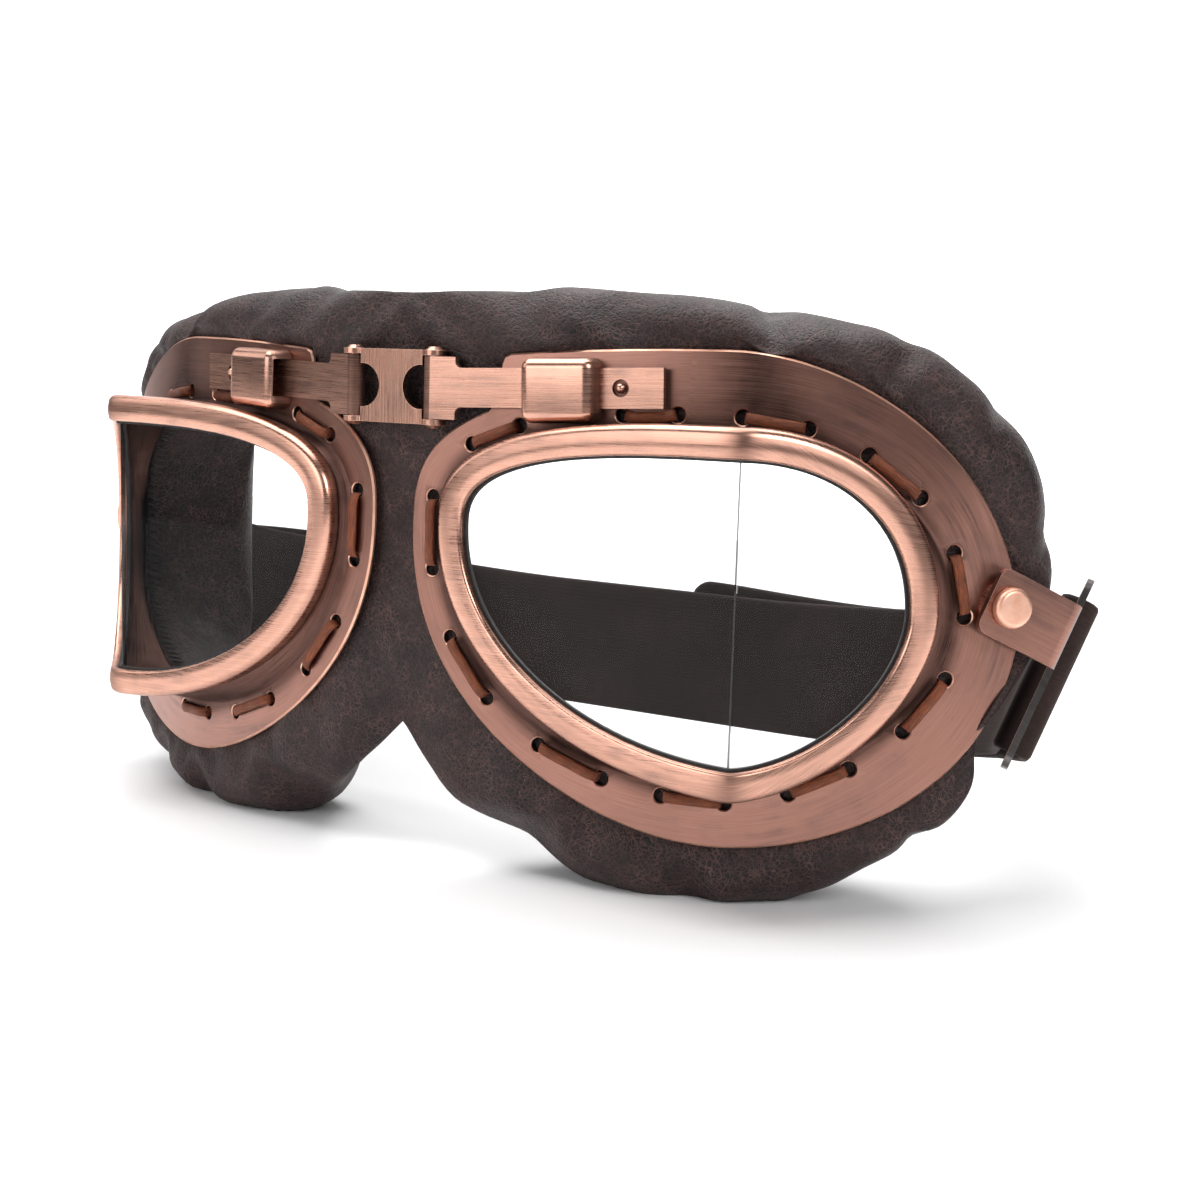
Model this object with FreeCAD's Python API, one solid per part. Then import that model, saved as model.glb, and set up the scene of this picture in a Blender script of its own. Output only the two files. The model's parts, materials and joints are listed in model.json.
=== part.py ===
"""Goggles with two folded lenses, a hinged and sliding nose bridge, laced leather pads and an elastic strap.

Frame: +X to the wearer's left, -Y to the front, +Z up. The goggles stand on the pads' flat undersides at Z = 0.
Positions named below are measured from the front middle of the bridge link, and every piece is moved at the end
to put the origin on the table, half way between the front and the strap's back.
One eyepiece is built on the +X side, and the other is its mirror image.
"""
import FreeCAD
import Part
import math
import os

V = FreeCAD.Vector

# Bridge link and its hinge pins
LINK_WIDTH = 12.0
LINK_HEIGHT = 11.1
LINK_THICKNESS = 1.0
LINK_FLANGE_THICKNESS = 0.8
LINK_FLANGE_DEPTH = 2.6
NOTCH_RADIUS = 3.3
NOTCH_INSET = 0.4
PIN_X = 7.7
PIN_Y = 0.8
PIN_RADIUS = 0.8
PIN_HEAD_RADIUS = 1.4
PIN_HEAD_HEIGHT = 0.5
PIN_EYE_RADIUS = 1.8
PIN_SEAT_CLEARANCE = 0.01
KNUCKLE_RADIUS = 1.5
KNUCKLE_CLEARANCE = 0.05
KNUCKLE_END_GAP = 0.12

# Sliding bar
BAR_PLATE_GAP = 0.15
BAR_RISE = 1.75
BAR_WIDTH = 5.8
BAR_THICKNESS = 1.0
BAR_LENGTH = 37.0
BAR_SHOULDER = 4.2
SHOULDER_FILLET = 1.0
STUD_REACH = 30.5
STUD_RADIUS = 0.75
STUD_HEIGHT = 0.75
STUD_SHANK_RADIUS = 0.5
STUD_RECESS_RADIUS = 1.27
STUD_RECESS_DEPTH = 0.6
STUD_CLEARANCE = 0.01

# Keeper that the bar slides through
KEEPER_REACH = 15.9
KEEPER_LENGTH = 11.4
KEEPER_HEIGHT = 9.4
KEEPER_STAND = 3.2
KEEPER_WALL = 0.9
KEEPER_ROUND = 1.6
KEEPER_RISE = -0.35
BAR_SLIDE_CLEARANCE = 0.08
SEAT_CLEARANCE = 0.1

# Base plate: a gentle arc from the nose, a tighter one to the temple, leaning back a little towards its top
PLATE_THICKNESS = 0.9
PLATE_NOSE_Y = 0.63
PLATE_NOSE_HEADING = 1.2
PLATE_RADIUS = 165.0
PLATE_TEMPLE_START = 25.0
PLATE_TEMPLE_RADIUS = 34.0
PLATE_TEMPLE_HEADING = 50.0
PLATE_LEAN = 0.028
PLATE_LEAN_LEVEL = -29.0
PLATE_CREASE = 54.0
PLATE_NOSE_REACH = 49.6
PLATE_TEMPLE_REACH = 43.2
PLATE_TOP = 6.8
PLATE_BOTTOM = -64.7
PLATE_TEMPLE_LEVEL = -31.7
PLATE_POWERS = (2.8, 1.93, 1.92, 1.82)
CORNER_REACH = 35.5
CORNER_LEVEL = 5.4
CORNER_ROUND = 1.6

# Lacing holes and lace
HOLE_RADIUS = 1.15
HOLE_NOSE_REACH = 46.8
HOLE_TEMPLE_INSET = 8.8
HOLE_TEMPLE_REACH = PLATE_TEMPLE_REACH - HOLE_TEMPLE_INSET
HOLE_TOP = -2.55
HOLE_BOTTOM = -58.1
HOLE_TEMPLE_LEVEL = -30.6
HOLE_POWERS = (2.8, 2.14, 1.75, 2.03)
NOSE_LEVEL = -20.5
KEEPER_NOSE_HOLE = 32.3
KEEPER_TEMPLE_HOLE = 16.0
KEEPER_TEMPLE_GAP = 8.1
HOLE_FIRST_GAP = 8.5
HOLE_NOSE_PITCH = 10.9
HOLE_NOSE_GAPS = 6
HOLE_TEMPLE_GAPS = 13
NOSE_BAND = 3.4
LACE_RADIUS = 0.65
LACE_LIFT = 0.25
LACE_BEND = 0.85
LACE_TUCK = 0.1

# Collar and rim that hold the lens, folded at the crease
RIM_CREASE_X = 61.0
RIM_CREASE_Y = -1.0
RIM_FRONT_HEADING = 1.3
RIM_SIDE_HEADING = 46.0
RIM_NOSE_REACH = 50.4
RIM_TEMPLE_INSET = 13.1
RIM_TEMPLE_REACH = PLATE_TEMPLE_REACH - RIM_TEMPLE_INSET
RIM_TOP = -3.5
RIM_BOTTOM = -55.1
RIM_TEMPLE_LEVEL = -29.1
RIM_POWERS = (2.8, 2.0, 1.77, 2.12)
RIM_WIDTH = 4.4
RIM_SKIRT = 2.6
RIM_SKIRT_WALL = 0.6
RIM_LIP_THICKNESS = 1.4
RIM_OUTER_ROUND = 1.3
RIM_INNER_ROUND = 0.6
COLLAR_FOOT_INSET = 2.2
COLLAR_WALL = 0.9
COLLAR_CLEARANCE = 0.05

# Lens panes and gasket
PANE_THICKNESS = 2.0
PANE_CLEARANCE = 0.2
PANE_BUTT_GAP = 0.1
GASKET_THICKNESS = 0.6
GASKET_SHOW = 0.4

# Leather pad: a crowned roll behind the plate
PAD_NOSE_REACH = 84.0
PAD_TEMPLE_SHOW = 7.3
PAD_TEMPLE_REACH = PLATE_TEMPLE_REACH + PAD_TEMPLE_SHOW
PAD_TOP = 15.2
PAD_BOTTOM = -74.0
PAD_TEMPLE_LEVEL = -20.0
PAD_POWERS = (3.6, 1.85, 1.75, 2.2)
PAD_FRONT_GAP = 0.3
PAD_DEPTH = 21.0
PAD_OPENING_INSET = 3.4
# Section of the roll: share of the way out from the opening, share of the depth, share of the wrinkles
PAD_SECTION = (
    (0.00, 0.00, 0.0),
    (0.62, 0.00, 0.0),
    (0.90, 0.08, 0.5),
    (0.99, 0.22, 1.0),
    (1.00, 0.40, 1.0),
    (0.99, 0.60, 1.0),
    (0.90, 0.81, 0.7),
    (0.71, 0.96, 0.3),
    (0.52, 1.00, 0.0),
    (0.34, 0.93, 0.0),
    (0.20, 0.70, 0.0),
    (0.05, 0.36, 0.0),
)
PAD_WRINKLES = 13
PAD_WRINKLE_DEPTH = 0.55
PAD_FLAT = 0.5
NOSE_PAD_HALF_WIDTH = 8.7
NOSE_PAD_GAP = 0.3
NOSE_PAD_FRONT = 3.9
NOSE_PAD_NOTCH = -52.0
NOSE_PAD_FOOT = -57.0
NOSE_PAD_TOP = 14.6
NOSE_PAD_ROUND = 7.0
NOSE_ARCH_RADIUS = 10.0
NOSE_SADDLE_RADIUS = 14.0
NOSE_SADDLE_DEPTH = 4.0

# Strap bracket on its pivot rivet
PIVOT_INSET = 3.4
PIVOT_REACH = PLATE_TEMPLE_REACH - PIVOT_INSET
PIVOT_LEVEL = -27.9
PIVOT_SHANK_RADIUS = 1.2
PIVOT_CLEARANCE = 0.05
PIVOT_HEAD_RADIUS = 2.9
PIVOT_HEAD_HEIGHT = 1.5
PIVOT_HEAD_ROUND = 0.8
PIVOT_TAIL_RADIUS = 1.6
PIVOT_TAIL_HEIGHT = 0.2
WASHER_RADIUS = 3.4
WASHER_THICKNESS = 1.7
BRACKET_TILT = 25.0
BRACKET_THICKNESS = 1.0
TAB_WIDTH = 9.8
TAB_INNER = 3.5
TAB_OUTER = 9.2
TAB_ROUND = 1.6
BRACKET_BEND = 58.0
BRACKET_BEND_RADIUS = 1.6
LOOP_WIDTH = 30.0
LOOP_LENGTH = 9.6
LOOP_DROP = 5.5
LOOP_ROUND = 2.0
SLOT_LENGTH = 26.4
SLOT_WIDTH = 4.2
SLOT_BAR = 2.4
TAB_GAP = 0.1

# Elastic strap
STRAP_WIDTH = 25.0
STRAP_THICKNESS = 1.5
STRAP_FOLD_GAP = 0.3
STRAP_END_LENGTH = 9.0
STRAP_JOIN_GAP = 0.4
STRAP_BACK_Y = 83.0
STRAP_BACK_HALF = 20.0
STRAP_BACK_LEVEL = -51.0
STRAP_MERGE = 14.0
LONG_TAIL_END = 6.0
SHORT_TAIL_END = -66.0
STRAP_HEM = 5.0

# Sampling of the curves
LOOP_SAMPLES = 96
QUARTER_SAMPLES = 240
STRAP_SAMPLES = 40
STRAP_BACK_SAMPLES = 12
FORWARD = 1
TINY = 1e-9
EDGE_PICK = 0.3
ROUND_MIDDLE = 1 - math.sqrt(0.5)

# The table under the pads, and the middle of the depth from the rim's front to the strap's back
TABLE = PAD_BOTTOM + PAD_FLAT
RIM_FRONT_Y = RIM_CREASE_Y - (RIM_NOSE_REACH - RIM_OUTER_ROUND) * math.sin(math.radians(RIM_FRONT_HEADING))
MIDDLE_Y = (RIM_FRONT_Y + STRAP_BACK_Y + STRAP_THICKNESS) / 2


def rad(degrees):
    """Angle in radians."""
    return math.radians(degrees)


class CurvedSheet:
    """The base plate's front face: an arc in plan; w runs along it from the crease, negative to the nose."""

    def __init__(self):
        self.tight = rad(PLATE_NOSE_HEADING) + (PLATE_TEMPLE_START + PLATE_CREASE) / PLATE_RADIUS
        self.straight = rad(PLATE_TEMPLE_HEADING)
        self.bend_end = PLATE_TEMPLE_START + PLATE_TEMPLE_RADIUS * (self.straight - self.tight)

    def heading(self, w):
        """Direction of the face at w, from +X towards +Y."""
        if w < PLATE_TEMPLE_START:
            return rad(PLATE_NOSE_HEADING) + (w + PLATE_CREASE) / PLATE_RADIUS
        return min(self.tight + (w - PLATE_TEMPLE_START) / PLATE_TEMPLE_RADIUS, self.straight)

    def normal(self, w):
        """Unit vector out of the front face at w."""
        heading = self.heading(w)
        return V(math.sin(heading), -math.cos(heading), PLATE_LEAN * math.cos(heading)).normalize()

    def plan(self, w):
        """Plan position at w: along the gentle arc, then the tighter one, then straight."""
        x, y = 0.0, PLATE_NOSE_Y
        bends = [(-PLATE_CREASE, min(w, PLATE_TEMPLE_START), PLATE_RADIUS)]
        if w > PLATE_TEMPLE_START:
            bends.append((PLATE_TEMPLE_START, min(w, self.bend_end), PLATE_TEMPLE_RADIUS))
        for start, end, radius in bends:
            x += radius * (math.sin(self.heading(end)) - math.sin(self.heading(start)))
            y += radius * (math.cos(self.heading(start)) - math.cos(self.heading(end)))
        beyond = max(w - self.bend_end, 0.0)
        return x + beyond * math.cos(self.straight), y + beyond * math.sin(self.straight)

    def place(self, w, z, lift):
        """Point at w and height z, lifted along the front normal."""
        x, y = self.plan(w)
        return V(x, y + PLATE_LEAN * (z - PLATE_LEAN_LEVEL), z) + self.normal(w) * lift


class FoldedSheet:
    """The rim's front face: a front plane and a side plane that meet at a sharp upright crease."""

    def __init__(self, gap=0.0):
        self.gap = gap
        self.half_fold = rad(RIM_SIDE_HEADING - RIM_FRONT_HEADING) / 2

    def place(self, w, z, lift):
        """Point at w and height z; lifted faces are mitred at the crease."""
        shift = lift * math.tan(self.half_fold) - self.gap
        if w <= 0:
            heading = rad(RIM_FRONT_HEADING)
            w += shift * (1 + w / RIM_NOSE_REACH)
        else:
            heading = rad(RIM_SIDE_HEADING)
            w -= shift * (1 - w / RIM_TEMPLE_REACH)
        along = V(math.cos(heading), math.sin(heading), 0)
        out = V(math.sin(heading), -math.cos(heading), 0)
        return V(RIM_CREASE_X, RIM_CREASE_Y, z) + along * w + out * lift

    def seam(self, side, z, lift):
        """Point on the mitre, on the nose side (-1) or the temple side (+1) of it."""
        return self.place(0.0 if side < 0 else TINY, z, lift)


class EggLoop:
    """Four superellipse quarters that are level where they meet at the crease.

    Fractions run from the crease top (0) past the nose (0.25) and the crease bottom (0.5) to the temple (0.75).
    """

    def __init__(self, nose, temple, top, bottom, temple_level, powers):
        self.sizes = (nose, temple, top, bottom, temple_level, powers)
        self.quarters = []
        for index in range(4):
            points = [self._raw(index, k / QUARTER_SAMPLES) for k in range(QUARTER_SAMPLES + 1)]
            lengths = [0.0]
            for a, b in zip(points, points[1:]):
                lengths.append(lengths[-1] + math.hypot(b[0] - a[0], b[1] - a[1]))
            self.quarters.append((points, lengths))

    def _raw(self, index, t):
        nose, temple, top, bottom, temple_level, powers = self.sizes
        reach = -nose if index < 2 else temple
        level = NOSE_LEVEL if index < 2 else temple_level
        far = top if index in (0, 3) else bottom
        outward = t if index in (0, 2) else 1 - t
        angle = outward * math.pi / 2
        exponent = 2.0 / powers[index]
        return (reach * abs(math.sin(angle)) ** exponent,
                level + (far - level) * abs(math.cos(angle)) ** exponent)

    def at(self, fraction):
        """Position (w, z) at an even share of the quarter's own length."""
        scaled = (fraction % 1.0) * 4
        index = min(int(scaled), 3)
        points, lengths = self.quarters[index]
        wanted = (scaled - index) * lengths[-1]
        k = 1
        while k < len(points) - 1 and lengths[k] < wanted:
            k += 1
        share = (wanted - lengths[k - 1]) / (lengths[k] - lengths[k - 1])
        a, b = points[k - 1], points[k]
        return a[0] + (b[0] - a[0]) * share, a[1] + (b[1] - a[1]) * share

    def length(self):
        """Length all the way round."""
        return sum(lengths[-1] for _, lengths in self.quarters)

    def at_length(self, distance):
        """Position (w, z) at a distance along the loop from the crease top, by way of the nose."""
        distance %= self.length()
        for index, (_, lengths) in enumerate(self.quarters):
            if distance <= lengths[-1]:
                return self.at((index + distance / lengths[-1] * (1 - TINY)) / 4)
            distance -= lengths[-1]
        return self.at(0.0)

    def grown(self, by):
        """The loop moved outwards all round."""
        nose, temple, top, bottom, temple_level, powers = self.sizes
        return EggLoop(nose + by, temple + by, top + by, bottom - by, temple_level, powers)

    def fraction_at_reach(self, w):
        """Fraction in the top nose quarter where the loop has come to w."""
        low, high = 0.0, 0.25
        while high - low > TINY:
            middle = (low + high) / 2
            if self.at(middle)[0] > w:
                low = middle
            else:
                high = middle
        return low


class PlateOutline:
    """The base plate's edge: an egg loop with a square corner for the keeper above a narrow nose band."""

    CORNER_START = 0.165
    CORNER_END = 0.176
    NOTCH = 0.196

    def __init__(self, band):
        self.loop = EggLoop(PLATE_NOSE_REACH, PLATE_TEMPLE_REACH, PLATE_TOP, PLATE_BOTTOM, PLATE_TEMPLE_LEVEL,
                            PLATE_POWERS)
        self.band = band
        self.band_start = band.fraction_at_reach(-CORNER_REACH)
        self.breaks = [0.0, self.CORNER_START, self.CORNER_END, self.NOTCH, 0.25, 0.5, 1.0]

    def at(self, fraction):
        """Position (w, z) on the outline."""
        if fraction >= 0.5:
            return self.loop.at(fraction)
        if fraction >= self.NOTCH:
            share = (fraction - self.NOTCH) / (0.25 - self.NOTCH)
            if share <= 1:
                return self.band.at(self.band_start + (0.25 - self.band_start) * share)
            return self._lower(fraction)
        edge_top = CORNER_LEVEL - CORNER_ROUND
        if fraction >= self.CORNER_END:
            share = (fraction - self.CORNER_END) / (self.NOTCH - self.CORNER_END)
            foot = self.band.at(self.band_start)[1]
            return -CORNER_REACH, edge_top + (foot - edge_top) * share
        if fraction >= self.CORNER_START:
            angle = (fraction - self.CORNER_START) / (self.CORNER_END - self.CORNER_START) * math.pi / 2
            return (-CORNER_REACH + CORNER_ROUND - CORNER_ROUND * math.sin(angle),
                    edge_top + CORNER_ROUND * math.cos(angle))
        share = fraction / self.CORNER_START
        reach = (CORNER_REACH - CORNER_ROUND) * share
        return -reach, PLATE_TOP - (PLATE_TOP - CORNER_LEVEL) * share ** 2

    def _lower(self, fraction):
        """The band's nose point eased into the loop's lower quarter."""
        share = (fraction - 0.25) / 0.25
        near, far = self.band.at(fraction), self.loop.at(fraction)
        ease = share * share * (3 - 2 * share)
        return near[0] + (far[0] - near[0]) * ease, near[1] + (far[1] - near[1]) * ease


def spline(points, parameters):
    """Edge through points at the given parameters."""
    curve = Part.BSplineCurve()
    curve.interpolate(Points=points, Parameters=parameters)
    return curve.toShape()


def sewn_solid(faces):
    """Closed solid from faces that share their borders."""
    shell = Part.makeShell(faces)
    shell.sewShape()
    solid = Part.makeSolid(Part.Shell(shell.Faces))
    if solid.Volume < 0:
        solid.reverse()
    return solid


def stretch(curve, start, end):
    """Edge along one stretch of a loop function."""
    count = max(5, int(LOOP_SAMPLES * (end - start)))
    fractions = [start + (end - start) * k / count for k in range(count + 1)]
    return spline([curve(f, start) for f in fractions], fractions)


def ring_solid(curves, breaks):
    """Closed ring whose section has one corner on each curve, in order."""
    faces = []
    for start, end in zip(breaks, breaks[1:]):
        edges = [stretch(curve, start, end) for curve in curves]
        for a, b in zip(edges, edges[1:] + edges[:1]):
            faces.append(Part.makeRuledSurface(a, b, FORWARD))
    return sewn_solid(faces)


def strip_solid(curves, parameters):
    """Open strip whose section has one corner on each list of points, in order."""
    edges = [spline(points, parameters) for points in curves]
    faces = [Part.makeRuledSurface(a, b, FORWARD) for a, b in zip(edges, edges[1:] + edges[:1])]
    for end in (0, -1):
        corners = [points[end] for points in curves]
        half = len(corners) // 2
        first = Part.makeLine(corners[0], corners[1])
        second = Part.makeLine(corners[-1], corners[half])
        faces.append(Part.makeRuledSurface(first, second, FORWARD))
    return sewn_solid(faces)


def on_plate(sheet, loop, lift):
    """Loop function on the base plate."""
    def curve(fraction, _start):
        w, z = loop.at(fraction)
        return sheet.place(w, z, lift)
    return curve


def on_rim(sheet, loop, lift):
    """Loop function on the folded rim; the ends of a stretch stay on its own side of the crease."""
    def curve(fraction, start):
        w, z = loop.at(fraction)
        if abs(w) < TINY:
            return sheet.seam(-1 if start < 0.5 else 1, z, lift)
        return sheet.place(w, z, lift)
    return curve


def moved(shape, origin, x_axis, z_axis):
    """Shape carried from its own axes to an origin with the given X and Z directions."""
    y_axis = z_axis.cross(x_axis)
    matrix = FreeCAD.Matrix(x_axis.x, y_axis.x, z_axis.x, origin.x,
                            x_axis.y, y_axis.y, z_axis.y, origin.y,
                            x_axis.z, y_axis.z, z_axis.z, origin.z,
                            0, 0, 0, 1)
    placed = shape.copy()
    placed.Placement = FreeCAD.Placement(matrix).multiply(shape.Placement)
    return placed


def mirrored(shape):
    """The same piece on the other side of the nose."""
    return shape.mirror(V(0, 0, 0), V(1, 0, 0))


def box(x0, x1, y0, y1, z0, z1):
    """Box between two corners."""
    return Part.makeBox(x1 - x0, y1 - y0, z1 - z0, V(x0, y0, z0))


def upright_edges(shape, axis):
    """Straight edges of a shape that run along an axis."""
    lines = [edge for edge in shape.Edges if edge.Curve.TypeId == "Part::GeomLine"]
    return [edge for edge in lines if abs(edge.tangentAt(edge.FirstParameter).dot(axis)) > 1 - TINY]


# Bridge

def bridge_link():
    """Channel with a waisted web and an eye for each hinge pin in both flanges."""
    half = LINK_HEIGHT / 2
    web = box(-LINK_WIDTH / 2, LINK_WIDTH / 2, 0, LINK_THICKNESS, -half, half)
    for side in (-1, 1):
        centre = V(side * (LINK_WIDTH / 2 - NOTCH_INSET), -LINK_THICKNESS, 0)
        web = web.cut(Part.makeCylinder(NOTCH_RADIUS, 3 * LINK_THICKNESS, centre, V(0, 1, 0)))
    link = web
    for level in (-half, half - LINK_FLANGE_THICKNESS):
        flange = box(-LINK_WIDTH / 2, LINK_WIDTH / 2, 0, LINK_FLANGE_DEPTH, level, level + LINK_FLANGE_THICKNESS)
        for side in (-1, 1):
            eye = V(side * PIN_X, PIN_Y, level)
            flange = flange.fuse(Part.makeCylinder(PIN_EYE_RADIUS, LINK_FLANGE_THICKNESS, eye))
            inner, outer = sorted((side * LINK_WIDTH / 4, side * PIN_X))
            flange = flange.fuse(box(inner, outer, PIN_Y - PIN_EYE_RADIUS, PIN_Y + PIN_EYE_RADIUS,
                                     level, level + LINK_FLANGE_THICKNESS).common(
                box(-PIN_X, PIN_X, 0, LINK_FLANGE_DEPTH, level, level + LINK_FLANGE_THICKNESS)))
            flange = flange.cut(Part.makeCylinder(PIN_RADIUS + PIN_SEAT_CLEARANCE, LINK_FLANGE_THICKNESS, eye))
        link = link.fuse(flange)
    return link.removeSplitter()


def hinge_pin():
    """Peened pin through both flanges of the link."""
    half = LINK_HEIGHT / 2
    shank = Part.makeCylinder(PIN_RADIUS, LINK_HEIGHT, V(PIN_X, PIN_Y, -half))
    top = Part.makeCone(PIN_HEAD_RADIUS, PIN_RADIUS, PIN_HEAD_HEIGHT, V(PIN_X, PIN_Y, half))
    bottom = Part.makeCone(PIN_HEAD_RADIUS, PIN_RADIUS, PIN_HEAD_HEIGHT, V(PIN_X, PIN_Y, -half), V(0, 0, -1))
    return shank.fuse([top, bottom]).removeSplitter()


# Bar: built along its own X from the hinge axis, with Y to the back

def raised(shape):
    """Tip a piece up towards its outer end, as the bar rises from its head."""
    tipped = shape.copy()
    tipped.rotate(V(0, 0, 0), V(0, 1, 0), -BAR_RISE)
    return tipped


def bar_heading():
    """Heading, in radians, at which the bar's back passes the curved plate by a set gap where they are nearest."""
    start = rad(PLATE_NOSE_HEADING)
    lean = PLATE_LEAN * (-BAR_WIDTH / 2 - PLATE_LEAN_LEVEL)
    centre = V(-PLATE_RADIUS * math.sin(start), PLATE_NOSE_Y + lean + PLATE_RADIUS * math.cos(start), 0)
    away = centre - V(PIN_X, PIN_Y, 0)
    nearest = PLATE_RADIUS + BAR_PLATE_GAP + BAR_THICKNESS - KNUCKLE_RADIUS
    return math.atan2(-away.x, away.y) + math.acos(nearest / away.Length)


def bar_frame(shape):
    """Carry a piece from the bar's own axes to its place."""
    heading = bar_heading()
    along = V(math.cos(heading), math.sin(heading), 0)
    return moved(shape, V(PIN_X, PIN_Y, 0), along, V(0, 0, 1))


def sliding_bar():
    """T-headed bar with a rolled knuckle and a recess for its stop stud."""
    head_half = LINK_HEIGHT / 2 - LINK_FLANGE_THICKNESS - KNUCKLE_END_GAP
    front = -KNUCKLE_RADIUS
    back = front + BAR_THICKNESS
    head = box(0, BAR_SHOULDER, front, back, -head_half, head_half)
    shank = box(BAR_SHOULDER / 2, BAR_LENGTH, front, back, -BAR_WIDTH / 2, BAR_WIDTH / 2)
    bar = head.fuse(raised(shank)).removeSplitter()
    corners = [e for e in upright_edges(bar, V(0, 1, 0))
               if abs(e.Vertexes[0].X - BAR_SHOULDER) < EDGE_PICK
               and abs(abs(e.Vertexes[0].Z) - BAR_WIDTH / 2) < EDGE_PICK]
    bar = bar.makeFillet(SHOULDER_FILLET, corners)
    bar = bar.fuse(Part.makeCylinder(KNUCKLE_RADIUS, 2 * head_half, V(0, 0, -head_half)))
    bar = bar.cut(Part.makeCylinder(PIN_RADIUS + KNUCKLE_CLEARANCE, 2 * head_half, V(0, 0, -head_half)))
    seat = V(STUD_REACH, front, 0)
    recess = Part.makeCylinder(STUD_RECESS_RADIUS, STUD_RECESS_DEPTH, seat, V(0, 1, 0))
    shank_hole = Part.makeCylinder(STUD_SHANK_RADIUS + STUD_CLEARANCE, BAR_THICKNESS, seat, V(0, 1, 0))
    return bar_frame(bar.cut([raised(recess), raised(shank_hole)]))


def stop_stud():
    """Round-headed stud in the bar's recess that meets the keeper when the bar is drawn in."""
    floor = -KNUCKLE_RADIUS + STUD_RECESS_DEPTH
    shank = Part.makeCylinder(STUD_SHANK_RADIUS, BAR_THICKNESS - STUD_RECESS_DEPTH, V(STUD_REACH, floor, 0),
                              V(0, 1, 0))
    neck = Part.makeCylinder(STUD_RADIUS, STUD_RECESS_DEPTH, V(STUD_REACH, -KNUCKLE_RADIUS, 0), V(0, 1, 0))
    dome = Part.makeSphere(STUD_RADIUS, V(STUD_REACH, -KNUCKLE_RADIUS, 0), V(0, -1, 0), 0, 90, 360)
    return bar_frame(raised(shank.fuse([neck, dome]).removeSplitter()))


# Eyepiece

def plate_front(sheet, lift):
    """Everything behind the base plate's front face raised by a lift, to seat pieces on it."""
    line = [sheet.place(w, PAD_BOTTOM, lift) for w in (-PLATE_CREASE, 0, PLATE_TEMPLE_START)]
    first, middle, tip = (V(p.x, p.y, PAD_BOTTOM) for p in line)
    far = V(first.x, tip.y, PAD_BOTTOM)
    edges = [Part.Arc(first, middle, tip).toShape(), Part.makeLine(tip, far), Part.makeLine(far, first)]
    height = PAD_TOP - PAD_BOTTOM
    return Part.Face(Part.Wire(edges)).extrude(V(0, PLATE_LEAN * height, height))


def hole_stations(loop):
    """Positions (w, z) of the lacing holes: wider apart on the nose side, and none under the keeper."""
    distances = [KEEPER_NOSE_HOLE, KEEPER_NOSE_HOLE + HOLE_FIRST_GAP]
    for _ in range(HOLE_NOSE_GAPS):
        distances.append(distances[-1] + HOLE_NOSE_PITCH)
    last = loop.length() + KEEPER_TEMPLE_HOLE
    pitch = (last - KEEPER_TEMPLE_GAP - distances[-1]) / HOLE_TEMPLE_GAPS
    for _ in range(HOLE_TEMPLE_GAPS):
        distances.append(distances[-1] + pitch)
    distances.append(last)
    return [loop.at_length(distance) for distance in distances]


def base_plate(sheet, folded, holes, rim):
    """Pressed plate with its drawn collar, lacing holes and pivot hole."""
    band = holes.grown(NOSE_BAND)
    outline = PlateOutline(band)
    foot = holes.grown(-COLLAR_FOOT_INSET)
    wall_out = rim.grown(-RIM_SKIRT_WALL - COLLAR_CLEARANCE)
    wall_in = wall_out.grown(-COLLAR_WALL)
    lip = -RIM_LIP_THICKNESS
    skirt_end = -RIM_SKIRT - COLLAR_CLEARANCE
    curves = [on_plate(sheet, outline, 0.0), on_plate(sheet, foot, 0.0), on_rim(folded, wall_out, skirt_end),
              on_rim(folded, wall_out, lip), on_rim(folded, wall_in, lip), on_rim(folded, wall_in, skirt_end),
              on_plate(sheet, foot.grown(-COLLAR_WALL), -PLATE_THICKNESS),
              on_plate(sheet, outline, -PLATE_THICKNESS)]
    plate = ring_solid(curves, outline.breaks)
    drills = []
    for w, z in hole_stations(holes):
        drills.append(Part.makeCylinder(HOLE_RADIUS, 4 * PLATE_THICKNESS, sheet.place(w, z, -2 * PLATE_THICKNESS),
                                        sheet.normal(w)))
    tail_top = PIVOT_TAIL_HEIGHT - PLATE_THICKNESS
    for radius, depth in ((PIVOT_SHANK_RADIUS, PLATE_THICKNESS), (PIVOT_TAIL_RADIUS, tail_top)):
        start = sheet.place(PIVOT_REACH, PIVOT_LEVEL, -2 * PLATE_THICKNESS)
        drills.append(Part.makeCylinder(radius + PIN_SEAT_CLEARANCE, 2 * PLATE_THICKNESS + depth, start,
                                        sheet.normal(PIVOT_REACH)))
    return plate.cut(drills)


def lens_rim(folded, rim):
    """Bezel over the collar: a skirt outside it and a lip over the lens, rounded at the front."""
    inner = -RIM_WIDTH
    skirt = -RIM_SKIRT_WALL
    lip = -RIM_LIP_THICKNESS
    outer_cut = RIM_OUTER_ROUND * ROUND_MIDDLE
    inner_cut = RIM_INNER_ROUND * ROUND_MIDDLE
    section = [(0.0, -RIM_SKIRT), (0.0, -RIM_OUTER_ROUND), (-outer_cut, -outer_cut), (-RIM_OUTER_ROUND, 0.0),
               (inner + RIM_INNER_ROUND, 0.0), (inner + inner_cut, -inner_cut), (inner, -RIM_INNER_ROUND),
               (inner, lip), (skirt, lip), (skirt, -RIM_SKIRT)]
    curves = [on_rim(folded, rim.grown(grow), lift) for grow, lift in section]
    return ring_solid(curves, [0.0, 0.5, 1.0])


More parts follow.
